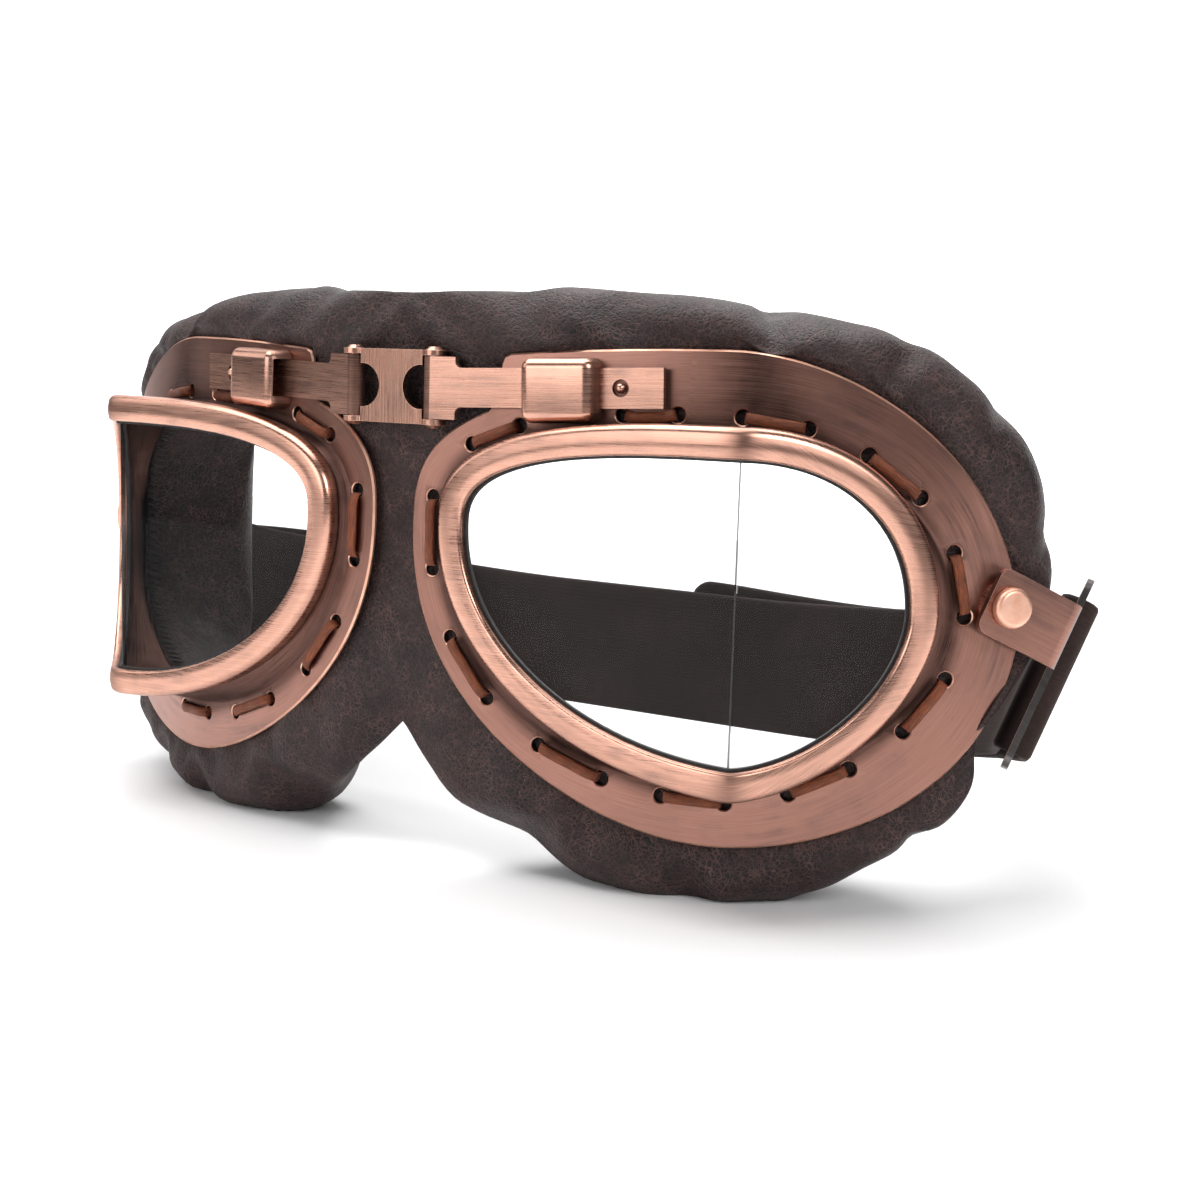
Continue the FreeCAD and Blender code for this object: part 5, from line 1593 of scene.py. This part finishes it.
    def skin(self, bench: Bench) -> bmesh.types.BMesh:
        """The whole cushion as one mesh in the frame, cut at the nose and mirrored."""
        points, covered = self.grid()
        place, depth = self._section().T
        lining = (depth < self.front_end) | (place < self.lining_place)
        folds = self.cover.settle(points, (place < self.held_place) & lining)
        points = points + np.where(covered[..., None], 0.0, folds)
        points[..., 2] = np.maximum(points[..., 2], self.table)
        grid = bench.to_frame(points)
        rows, columns = grid.shape[:2]
        bm = bmesh.new()
        verts = [[bm.verts.new(point) for point in row] for row in grid]
        for r in range(rows):
            for c in range(columns):
                n, m = (r + 1) % rows, (c + 1) % columns
                bm.faces.new((verts[r][c], verts[r][m], verts[n][m], verts[n][c]))
        bmesh.ops.bisect_plane(bm, geom=everything(bm), dist=self.ON_PLANE, plane_co=(0, 0, 0),
                               plane_no=(-1, 0, 0), clear_outer=True)
        bmesh.ops.mirror(bm, geom=everything(bm), axis="X", merge_dist=self.WELD)
        for cut in (-self.bar_edge, 0.0, self.bar_edge):
            bmesh.ops.bisect_plane(bm, geom=everything(bm), dist=self.ON_PLANE, plane_co=(cut * MM, 0, 0),
                                   plane_no=(1, 0, 0))
        bmesh.ops.recalc_face_normals(bm, faces=bm.faces[:])
        bm.normal_update()
        return bm

    def build(self, bench: Bench, finishes: Finishes) -> None:
        """Make the cushion's four stretches, which share their borders and normals."""
        whole = self.skin(bench)
        limit = self.bar_edge * MM
        stretches = (("cushion_left", limit, math.inf), ("nose_left", 0.0, limit),
                     ("nose_right", -limit, 0.0), ("cushion_right", -math.inf, -limit))
        pieces = {}
        for name, low, high in stretches:
            faces = [f for f in whole.faces if low < f.calc_center_median().x < high]
            pieces[name] = self._stretch(name, faces, finishes)
        whole.free()
        for side in Side:
            word = side.name.lower()
            nose, cushion = pieces["nose_" + word], pieces["cushion_" + word]
            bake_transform(nose)
            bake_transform(cushion)
            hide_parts("nose_pad")
            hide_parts(side.prefix + "pad")
        for piece in pieces.values():
            report(piece)

    def _stretch(self, name: str, faces: Sequence[bmesh.types.BMFace],
                 finishes: Finishes) -> Piece:
        """One stretch of the cushion as its own object, with the whole skin's normals."""
        verts = {v: None for f in faces for v in f.verts}
        order = {v: k for k, v in enumerate(verts)}
        mesh = bpy.data.meshes.new(name)
        mesh.from_pydata([tuple(v.co) for v in verts], [], [[order[v] for v in f.verts] for f in faces])
        mesh.materials.append(finishes.leather)
        mesh.polygons.foreach_set("use_smooth", np.ones(len(mesh.polygons), bool))
        mesh.normals_split_custom_set_from_vertices([tuple(v.normal) for v in verts])
        return linked(name, mesh)


@dataclass(frozen=True)
class Overlock:
    """Overlock stitches over the lining's front edge, seen through the lens along its lower edge."""

    cushion: Cushion = Cushion()
    pitch: float = 1.5
    thread: float = 0.5
    wrap: float = 2.6
    inset: float = 0.35
    depth: float = 2.3
    slant: float = 0.5
    segments: int = 10
    rings: int = 8
    sharp: float = 80.0

    def guide(self, bench: Bench, side: Side) -> Mesh:
        """A ring of points along the edge, each with the way its stitch lies."""
        loop = self.cushion.plate.holes.loop.grown(-self.cushion.opening_inset - self.inset)
        count = round(loop.length / self.pitch)
        w, z = loop.at(loop.fraction_at(np.arange(count) * loop.length / count)).T
        points = self.cushion.sheet.place(w, z, -self.depth)
        ahead = unit(np.roll(points, -1, axis=0) - np.roll(points, 1, axis=0))
        return guide_mesh(points, [], self.cushion.sheet.normal(w) + ahead * self.slant, bench, side)

    def tree(self, material: Material) -> NodeTree:
        """Tree that lays one plump stitch on each point."""
        t = NodeTree("overlock_stitches")
        thread = t.size("Thread thickness", self.thread * MM)
        wrap = t.size("Stitch length", self.wrap * MM)
        stitch = t.add("GeometryNodeMeshUVSphere", {"Segments": self.segments, "Rings": self.rings,
                                                    "Radius": 0.5})
        lie = t.named("way", "FLOAT_VECTOR")
        turn = t.add("FunctionNodeAlignRotationToVector", {"Vector": lie}, axis="Z")
        scale = t.add("ShaderNodeCombineXYZ", {"X": thread, "Y": thread, "Z": wrap})
        points = t.add("GeometryNodeMeshToPoints", {"Mesh": t.start.outputs["Geometry"]})
        placed = t.add("GeometryNodeInstanceOnPoints",
                       {"Points": points.outputs["Points"], "Instance": stitch.outputs["Mesh"],
                        "Rotation": turn.outputs["Rotation"], "Scale": scale.outputs["Vector"]})
        t.finish(placed.outputs["Instances"], material)
        return t

    def build(self, bench: Bench, side: Side, finishes: Finishes) -> None:
        """Stitch one eyepiece's lining."""
        mesh = self.tree(finishes.thread).apply(side.prefix + "overlock", self.guide(bench, side))
        dress(finished(side.prefix + "overlock", mesh, self.sharp), side.prefix + "eye")


@dataclass(frozen=True)
class StrapBracketFrame:
    """Where the strap bracket's outer bar lies on the bench, from its pivot, tilt and bend."""

    sheet: CurvedSheet = CurvedSheet()
    reach: float = 39.8
    level: float = -27.9
    tilt: float = 25.0
    washer: float = 1.7
    gap: float = 0.1
    thickness: float = 1.0
    tab: float = 9.2
    bend: float = 58.0
    bend_radius: float = 1.6
    loop_length: float = 9.6
    loop_drop: float = 5.5
    bar: float = 2.4

    def axes(self) -> tuple[Array, Array, Array, Array]:
        """The pivot's place on the plate, and the ways along the tab, across it and out of the plate."""
        out = self.sheet.normal(np.array(self.reach))
        level = unit(np.array([-out[1], out[0], 0.0]))
        turn = math.radians(self.tilt)
        along = level * math.cos(turn) - np.cross(out, level) * math.sin(turn)
        place = self.sheet.place(np.array(self.reach), np.array(self.level))
        return place, along, np.cross(out, along), out

    def bar_frame(self) -> tuple[Array, Array, Array, Array]:
        """The outer bar's middle, and the ways away from the pivot, along the bar and out of the loop."""
        place, along, across, out = self.axes()
        turn = math.radians(self.bend)
        middle = self.washer + self.gap + self.thickness / 2
        radius = self.bend_radius + self.thickness / 2
        start = (place + along * (self.tab + radius * math.sin(turn)) - across * self.loop_drop
                 + out * (middle - radius * (1 - math.cos(turn))))
        away = along * math.cos(turn) - out * math.sin(turn)
        lifted = along * math.sin(turn) + out * math.cos(turn)
        return start + away * (self.loop_length - self.bar / 2), away, across, lifted


@dataclass(frozen=True)
class Strap:
    """Elastic strap: folded round each bracket's bar, doubled along its tails, and single behind the head."""

    bracket: StrapBracketFrame = StrapBracketFrame()
    width: float = 25.0
    thickness: float = 1.4
    layer: float = 1.5
    fold_gap: float = 0.3
    end_length: float = 9.4
    back_y: float = 83.0
    back_half: float = 20.0
    back_level: float = -51.0
    merge: float = 14.0
    left_tail: float = 6.0
    right_tail: float = 66.0
    tail_rise: float = 2.2
    tail_taper: float = 45.0
    tail_round: float = 4.0
    hem: float = 5.0
    hem_swell: float = 0.55
    stops: tuple[float, float] = (46.0, 58.0)
    edge_steps: int = 4
    width_steps: int = 10
    curve_steps: int = 120
    back_steps: int = 24
    fold_steps: int = 16
    lead_steps: int = 8
    sharp: float = 60.0

    def line(self) -> tuple[Array, Array]:
        """Lay the strap's middle line on the left, from the head's back to the fold.

        Returns:
            Points along it, and the way across the strap at each.
        """
        origin, away, across, _ = self.bracket.bar_frame()
        start = origin + away * self.end_length
        back = np.array([self.back_half, self.back_y, self.back_level])
        inwards, up = np.array([-1.0, 0.0, 0.0]), np.array([0.0, 0.0, 1.0])
        pull = np.linalg.norm(back - start)
        t = np.linspace(1.0, 0.0, self.curve_steps + 1)[:, None]
        curve = (start * (1 - 3 * t ** 2 + 2 * t ** 3) + away * pull * (t - 2 * t ** 2 + t ** 3)
                 + back * (3 * t ** 2 - 2 * t ** 3) + inwards * pull * (t ** 3 - t ** 2))
        ease = smooth(t)
        flat = np.linspace([0.0, self.back_y, self.back_level], back, self.back_steps, endpoint=False)
        ways = np.vstack([np.tile(up, (self.back_steps, 1)), across * (1 - ease) + up * ease])
        return np.vstack([flat, curve]), unit(ways)

    def _profile(self) -> Array:
        """Half-round edged section of the strap as (across, through), in millimetres, closed."""
        half, edge = self.width / 2, self.thickness / 2
        turns = np.linspace(-math.pi / 2, math.pi / 2, self.edge_steps + 1)
        right = [(half - edge + edge * math.cos(a), edge * math.sin(a)) for a in turns]
        spread = np.linspace(half - edge, -half + edge, self.width_steps + 1)[1:-1]
        one_half = np.array(right + [(s, edge) for s in spread])
        return np.vstack([one_half, -one_half])

    def _hem(self, run: Array) -> Array:
        """Shares of the full width and thickness at distances from a tail's end, where the hem is turned."""
        corner = np.clip(1.0 - run / self.tail_round, 0.0, 1.0)
        narrow = 1.0 - (1.0 - np.sqrt(1.0 - corner ** 2)) * 2 * self.tail_round / self.width
        thick = 1.0 + self.hem_swell * smooth(self.hem - run)
        return np.column_stack([narrow, thick])

    def ribbon(self, draft: MeshDraft, points: Array, across: Array, through: Array,
               run: Array, scale: Array | None = None) -> None:
        """Add a ribbon along points.

        Args:
            draft: where it goes.
            points: bench points of its middle.
            across: unit vectors across it.
            through: unit vectors through its thickness.
            run: distance along the strap at each point.
            scale: shares of the full width and thickness at each point, or None for all of them.
        """
        profile = self._profile()
        scale = np.ones((len(points), 2)) if scale is None else scale
        rows = [points + across * (a * scale[:, :1]) + through * (b * scale[:, 1:]) for a, b in profile]
        index = closed(draft.add_points(np.array(rows)))
        turn = closed(profile[:, 0])
        draft.add_grid(index, np.stack(np.broadcast_arrays(run[None, :], turn[:, None]), axis=-1) * MM)
        for column, step in ((0, 1), (-1, -1)):
            corners = index[:-1, column][::step]
            draft.add_face(corners, [(run[column] * MM, 0.0)] * len(corners))

    def build(self, bench: Bench, finishes: Finishes) -> None:
        """Make the strap's stretches and folds on both sides."""
        for side in Side:
            for piece in (*self._stretches(bench, side, finishes), self._fold(bench, side, finishes)):
                report(piece)

    def _stretches(self, bench: Bench, side: Side, finishes: Finishes) -> list[Piece]:
        """One side's three stretches, each across one joint."""
        points, across = self.line()
        run = run_along(points)
        out = unit(np.cross(np.gradient(points, axis=0), across))
        near_end = 1.0 - smooth((run[-1] - run) / self.merge)
        spread = (self.layer / 2 + (self.bracket.bar / 2 + self.fold_gap) * near_end)[:, None]
        tail = int(np.argmax(points[:, 0] >= (self.left_tail if side is Side.LEFT else self.right_tail)))
        rise = self.tail_rise * smooth(1.0 - (run - run[tail]) / self.tail_taper)[:, None]
        outer, inner = points + out * spread, points - out * spread + across * rise
        hem = self._hem(run - run[tail])
        words = ("bar", "eye", "bracket")
        bodies = ["bridge"] + [side.prefix + word for word in words]
        marks = [0, *(int(np.argmax(points[:, 0] >= stop)) for stop in self.stops), len(points) - 1]
        pieces = []
        for word, start_body, end_body, begin, end in zip(words, bodies, bodies[1:], marks, marks[1:]):
            draft = MeshDraft()
            whole, doubled = slice(begin, end + 1), slice(max(begin, tail), end + 1)
            self.ribbon(draft, outer[whole], across[whole], out[whole], run[whole])
            if tail < end:
                self.ribbon(draft, inner[doubled], across[doubled], out[doubled], run[doubled], hem[doubled])
            piece = draft.build(side.prefix + "strap_" + word, bench, side, [finishes.elastic], self.sharp)
            ends = bench.to_frame(points[[begin, end]], side)
            if word != "bracket":
                ends = ends * [1, 0, 0]
            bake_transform(piece)
            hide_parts("strap_band")
            pieces.append(piece)
        return pieces

    def _fold(self, bench: Bench, side: Side, finishes: Finishes) -> Piece:
        """The strap's fold round the bracket's bar, both layers leading away."""
        origin, away, across, lifted = self.bracket.bar_frame()
        radius = self.bracket.bar / 2 + self.fold_gap + self.layer / 2
        turns = np.linspace(math.pi / 2, -math.pi / 2, self.fold_steps + 1)
        lead = np.linspace(self.end_length, 0.0, self.lead_steps, endpoint=False)
        route = [(s, radius) for s in lead]
        route += [(-radius * math.cos(a), radius * math.sin(a)) for a in turns]
        route += [(s, -radius) for s in lead[::-1]]
        points = np.array([origin + away * s + lifted * lift for s, lift in route])
        through = unit(np.cross(np.gradient(points, axis=0), across))
        draft = MeshDraft()
        self.ribbon(draft, points, np.broadcast_to(across, points.shape), through, run_along(points))
        piece = draft.build(side.prefix + "strap_fold", bench, side, [finishes.suede], self.sharp)
        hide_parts(side.prefix + "strap_end")
        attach(piece, side.prefix + "bracket")
        return piece


@dataclass(frozen=True)
class Hardware:
    """The bridge, bars, keepers, pivots and brackets: the solids with their edges rubbed round and bright,
    the brightness partly a painted highlight.
    """

    bracket: StrapBracketFrame = StrapBracketFrame()
    bar_heading: float = 10.9
    bar_rise: float = 1.75
    edge: float = 0.13
    pin_edge: float = 0.06
    washer_edge: float = 0.1
    rivet_edge: float = 0.08
    bracket_edge: float = 0.16
    flat: float = 0.6
    sharp: float = 38.0
    pin: Triple = (7.7, 0.8, 0.0)
    knuckle: float = 1.75
    stud_reach: float = 30.5
    recess: float = 1.3
    # Painted dark reflection on the side faces of the link, pins, bars and keepers, and painted shade with
    # patina in the wells round pins and studs.
    link_side_dark_reflection: float = 0.85
    bar_side_dark_reflection: float = 0.65
    well_shade_and_patina: float = 0.9
    facing: float = 0.5

    # EDGE is the slot of the bright edge finish, rubbed copper with a painted highlight.
    COPPER, EDGE, STEEL = 0, 1, 2
    WELD = 1e-6

    def along_bar(self, side: Side) -> Vector:
        """The way a sliding bar leads."""
        turn = math.radians(self.bar_heading)
        rise = math.tan(math.radians(self.bar_rise))
        return Vector((side.value * math.cos(turn), math.sin(turn), rise)).normalized()

    def copy(self, frame: dict, node: str, body: str, along: Vector, finishes: Finishes,
             edge: float) -> Piece:
        """Stand in for a solid with a copy whose edges are rounded.

        Args:
            frame: the loaded frame.
            node: the solid's name.
            body: the body it rides on.
            along: the way it is brushed.
            finishes: the finishes.
            edge: width of its rounded edges; 0 keeps them crisp.

        Returns:
            The new piece.
        """
        mesh = frame["nodes"][node].data.copy()
        mesh.materials.clear()
        for material in (finishes.copper, finishes.edge):
            mesh.materials.append(material)
        shaped = self._rounded(mesh, node, edge) if edge > 0 else mesh
        self._brush(shaped, along)
        piece = linked(node + "_finish", shaped)
        dress(piece, body, node)
        return piece

    def _paint_shade_and_patina(self, piece: Piece, front: Vector, sides: float,
                 wells: Sequence[tuple[Vector, Vector, float]] = ()) -> None:
        """Paint a piece darker where it isn't rubbed: painted dark reflection on the faces that look away
        from its front, and painted shade with patina in its round wells.

        Args:
            piece: the piece.
            front: the way its rubbed face looks.
            sides: painted dark reflection on the faces that look another way.
            wells: a point, an axis and a radius in metres of each round well that gets painted shade and
                patina.
        """
        faces = piece.data.polygons
        centre, normal = np.empty((2, len(faces) * 3))
        faces.foreach_get("center", centre)
        faces.foreach_get("normal", normal)
        dark = np.where(normal.reshape(-1, 3) @ np.array(front) < self.facing, sides, 0.0)
        for point, axis, radius in wells:
            away = np.cross(centre.reshape(-1, 3) - np.array(point), np.array(axis))
            dark = np.where(np.linalg.norm(away, axis=1) < radius, self.well_shade_and_patina, dark)
        patina = piece.data.attributes.new("patina", "FLOAT", "FACE")
        patina.data.foreach_set("value", dark.astype(np.float32))

    def _rounded(self, mesh: Mesh, name: str, edge: float) -> Mesh:
        """A solid's mesh with its flats merged and its edges rounded."""
        bm = bmesh.new()
        bm.from_mesh(mesh)
        bmesh.ops.remove_doubles(bm, verts=bm.verts[:], dist=self.WELD)
        flat = math.radians(self.flat)
        bmesh.ops.dissolve_limit(bm, angle_limit=flat, verts=bm.verts[:], edges=bm.edges[:])
        bm.to_mesh(mesh)
        bm.free()
        holder = linked(name + "_holder", mesh)
        self._bevel(holder, edge)
        smoothed(mesh, self.sharp)
        bpy.context.view_layer.update()
        evaluated = holder.evaluated_get(bpy.context.evaluated_depsgraph_get())
        shaped = bpy.data.meshes.new_from_object(evaluated)
        bpy.data.objects.remove(holder)
        return shaped

    def _bevel(self, holder: Piece, width: float) -> None:
        """Round a piece's sharp edges and give them the second material, the bright edge finish with its
        painted highlight.
        """
        bevel = holder.modifiers.new("edge", "BEVEL")
        bevel.limit_method = "ANGLE"
        bevel.angle_limit = math.radians(self.sharp)
        bevel.width = width * MM
        bevel.segments = 2
        bevel.harden_normals = True
        bevel.material = self.EDGE

    def _brush(self, mesh: Mesh, along: Vector) -> None:
        """Give a mesh brush UVs: along the strokes and across them."""
        co = np.empty(len(mesh.vertices) * 3)
        mesh.vertices.foreach_get("co", co)
        across = Vector((0, 1, 0)).cross(along).normalized()
        corner = np.empty(len(mesh.loops), np.int32)
        mesh.loops.foreach_get("vertex_index", corner)
        uv = (co.reshape(-1, 3) @ np.array([along, across]).T)[corner]
        for layer in list(mesh.uv_layers):
            mesh.uv_layers.remove(layer)
        mesh.uv_layers.new(name="brush").data.foreach_set("uv", uv.astype(np.float32).ravel())

    def build(self, frame: dict, bench: Bench, finishes: Finishes) -> None:
        """Dress every metal solid that keeps its shape."""
        link = self.copy(frame, "bridge_link", "bridge", Vector((0, 0, 1)), finishes, self.edge)
        pins = self.copy(frame, "hinge_pins", "bridge", Vector((1, 0, 0)), finishes, self.pin_edge)
        # The link and pins: painted dark reflection on every face that looks away from the front.
        for piece in (link, pins):
            self._paint_shade_and_patina(piece, Vector((0, -1, 0)), self.link_side_dark_reflection)
        for side in Side:
            along = self.along_bar(side)
            front = Vector((along.y * side.value, -along.x * side.value, 0)).normalized()
            pin = Vector(bench.to_frame(np.array(self.pin), side))
            wells = ((pin, Vector((0, 0, 1)), self.knuckle * MM),
                     (pin + along * self.stud_reach * MM, front, self.recess * MM))
            tab_way = Vector(self.bracket.axes()[1] * side.mirror)
            pieces = {node: self.copy(frame, side.prefix + node, side.prefix + body, way, finishes, edge)
                      for node, body, way, edge in (("sliding_bar", "bar", along, 0.0),
                                                    ("stop_stud", "bar", along, 0.0),
                                                    ("keeper", "eye", along, self.edge),
                                                    ("pivot_washer", "eye", along, self.washer_edge),
                                                    ("pivot_rivet", "eye", along, self.rivet_edge),
                                                    ("strap_bracket", "bracket", tab_way, self.bracket_edge))}
            # Bars and keepers: painted dark reflection on their sides, painted shade with patina round the
            # pin and in the stud's recess.
            for node in ("sliding_bar", "keeper"):
                self._paint_shade_and_patina(pieces[node], front, self.bar_side_dark_reflection, wells)
            # The whole rivet takes the bright edge finish: rubbed copper with a painted highlight.
            for face in pieces["pivot_rivet"].data.polygons:
                face.material_index = self.EDGE
            # The loop past the bracket's bend gets a painted grey reflection.
            self._paint_grey_loop(pieces["strap_bracket"], side, bench, finishes)

    def _paint_grey_loop(self, piece: Piece, side: Side, bench: Bench, finishes: Finishes) -> None:
        """Give the bracket's loop, past its bend, a dark grey copper finish that paints the grey reflection
        it shows.
        """
        piece.data.materials[self.COPPER] = finishes.plate_copper
        piece.data.materials.append(finishes.steel)
        place, tab, _, _ = self.bracket.axes()
        start = Vector(bench.to_frame(place + tab * (self.bracket.tab + self.bracket.bend_radius), side))
        way = Vector(tab * side.mirror)
        for face in piece.data.polygons:
            if (face.center - start).dot(way) > 0:
                face.material_index = self.STEEL


class Lens:
    """The two clear panes of each eyepiece and the gasket round them, which keep their solids' shapes."""

    def build(self, frame: dict, finishes: Finishes) -> None:
        """Dress the panes and gaskets."""
        for side in Side:
            for node, material in (("front_pane", finishes.butted_pane), ("side_pane", finishes.pane),
                                   ("lens_gasket", finishes.rubber)):
                mesh = frame["nodes"][side.prefix + node].data
                mesh.materials.clear()
                mesh.materials.append(material)
                LOG.info("%s%s dressed", side.prefix, node)


@dataclass(frozen=True)
class SoftBox:
    """A soft light: its place and size in metres, and its power in watts."""

    name: str
    place: Triple
    size: tuple[float, float]
    power: float


@dataclass(frozen=True)
class Studio:
    """White floor and sweep, soft lights and the photograph's camera, whose place is in millimetres."""

    yaw: float = 32.496
    pitch: float = 7.755
    roll: float = -1.77
    position: Triple = (171.11, -207.72, 4.61)
    lens: float = 52.5
    sensor: float = 36.0
    clip_start: float = 0.01
    floor_width: float = 7.0
    right: float = 0.5
    front: float = -0.38
    back: float = 0.45
    sweep: float = 0.7
    sweep_steps: int = 12
    sweep_sharp: float = 60.0
    height: float = 3.0
    white: Colour = (0.93, 0.93, 0.93)
    backdrop_glow: float = 1.0
    world: Colour = (0.045, 0.048, 0.055)
    surround: Colour = (1.0, 1.0, 1.0)
    aim: Triple = (0.0, 0.0, 0.04)
    boxes: tuple[SoftBox, ...] = (SoftBox("top_box", (-0.20, 0.05, 0.95), (1.3, 1.0), 16.0),
                                  SoftBox("key_box", (-0.25, -1.0, 0.32), (0.75, 0.5), 3.8),
                                  SoftBox("right_box", (0.95, -0.35, 0.60), (0.4, 0.5), 5.6),
                                  SoftBox("left_fill", (-0.9, -0.4, 0.5), (0.5, 0.5), 1.4))

    def camera(self, bench: Bench) -> None:
        """Stand the camera where the photograph was taken."""
        a, e, r = (math.radians(v) for v in (self.yaw, self.pitch, self.roll))
        ahead = Vector((-math.sin(a) * math.cos(e), math.cos(a) * math.cos(e), -math.sin(e)))
        level = Vector((math.cos(a), math.sin(a), 0.0))
        down = ahead.cross(level)
        right = level * math.cos(r) + down * math.sin(r)
        low = down * math.cos(r) - level * math.sin(r)
        data = bpy.data.cameras.new("camera")
        data.lens, data.sensor_width, data.clip_start = self.lens, self.sensor, self.clip_start
        camera = linked("camera", data)
        turn = Matrix((right, -low, -ahead)).transposed().to_4x4()
        camera.matrix_world = Matrix.Translation(Vector(bench.to_frame(np.array(self.position)))) @ turn
        bpy.context.scene.camera = camera

    def floor(self) -> None:
        """Lay a white floor that sweeps up into a lit backdrop."""
        turns = np.linspace(0.0, math.pi / 2, self.sweep_steps + 1)
        rise = [(self.back + self.sweep * math.sin(a), self.sweep * (1 - math.cos(a))) for a in turns]
        rows = [(self.front, 0.0), *rise, (self.back + self.sweep, self.height)]
        floor = self._sheet("floor", rows[:2], 0.0)
        wall = self._sheet("backdrop", rows[1:], self.backdrop_glow)
        floor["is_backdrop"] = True
        wall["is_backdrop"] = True

    def _sheet(self, name: str, rows: Sequence[tuple[float, float]], glow: float) -> Piece:
        """One stretch of the sweep.

        Args:
            name: its name.
            rows: depth and height of each row across it.
            glow: light that it gives off.

        Returns:
            The object.
        """
        s = NodeSketch("white_" + name)
        s.shade(Base_Color=(*self.white, 1.0), Roughness=0.8, Specular_IOR_Level=0.1,
                Emission_Color=(1.0, 1.0, 1.0, 1.0), Emission_Strength=glow)
        points = [(x, y, z) for y, z in rows for x in (self.right - self.floor_width, self.right)]
        faces = [(2 * k, 2 * k + 1, 2 * k + 3, 2 * k + 2) for k in range(len(rows) - 1)]
        mesh = bpy.data.meshes.new(name)
        mesh.from_pydata(points, [], faces)
        mesh.materials.append(s.material)
        return finished(name, mesh, self.sweep_sharp)

    def light(self, box: SoftBox) -> None:
        """Hang a soft box and aim it."""
        data = bpy.data.lights.new(box.name, "AREA")
        data.shape = "RECTANGLE"
        (data.size, data.size_y), data.energy = box.size, box.power
        lamp = linked(box.name, data)
        lamp.location = box.place
        lamp.rotation_euler = (Vector(self.aim) - Vector(box.place)).to_track_quat("-Z", "Y").to_euler()

    def build(self, bench: Bench) -> None:
        """Set the stage."""
        self.floor()
        self.camera(bench)
        for box in self.boxes:
            self.light(box)
        bpy.context.scene.world = self._world()
        bpy.context.scene.view_settings.view_transform = "Standard"

    def _world(self) -> bpy.types.World:
        """A surround that looks as pale as the floor, and dim in what the metal mirrors."""
        world = bpy.data.worlds.new("studio")
        world.use_nodes = True
        nodes = NodeBuilder(world.node_tree)
        dim = world.node_tree.nodes["Background"]
        dim.inputs["Color"].default_value = (*self.world, 1.0)
        pale = nodes.add("ShaderNodeBackground", {"Color": (*self.surround, 1.0)})
        ray = nodes.add("ShaderNodeLightPath").outputs["Is Camera Ray"]
        mix = nodes.add("ShaderNodeMixShader", {0: ray, 1: dim.outputs[0], 2: pale.outputs[0]})
        nodes.link(mix.outputs[0], world.node_tree.nodes["World Output"].inputs["Surface"])
        return world


def corners() -> list[list[float]]:
    """The whole object's box as plain lists."""
    return [[float(c) for c in corner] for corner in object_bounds()]


def main() -> None:
    """Build and dress the goggles."""
    logging.basicConfig(level=logging.INFO, format="%(name)s: %(message)s")
    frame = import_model()
    bench = Bench.from_frame()
    finishes = Finishes()
    for side in Side:
        LensRim().build(bench, side, finishes)
        BasePlate().build(bench, side, finishes)
        Lacing().build(bench, side, finishes)
        Overlock().build(bench, side, finishes)
    Hardware().build(frame, bench, finishes)
    Lens().build(frame, finishes)
    Cushion().build(bench, finishes)
    Strap().build(bench, finishes)
    Studio().build(bench)


if __name__ == "__main__":
    main()
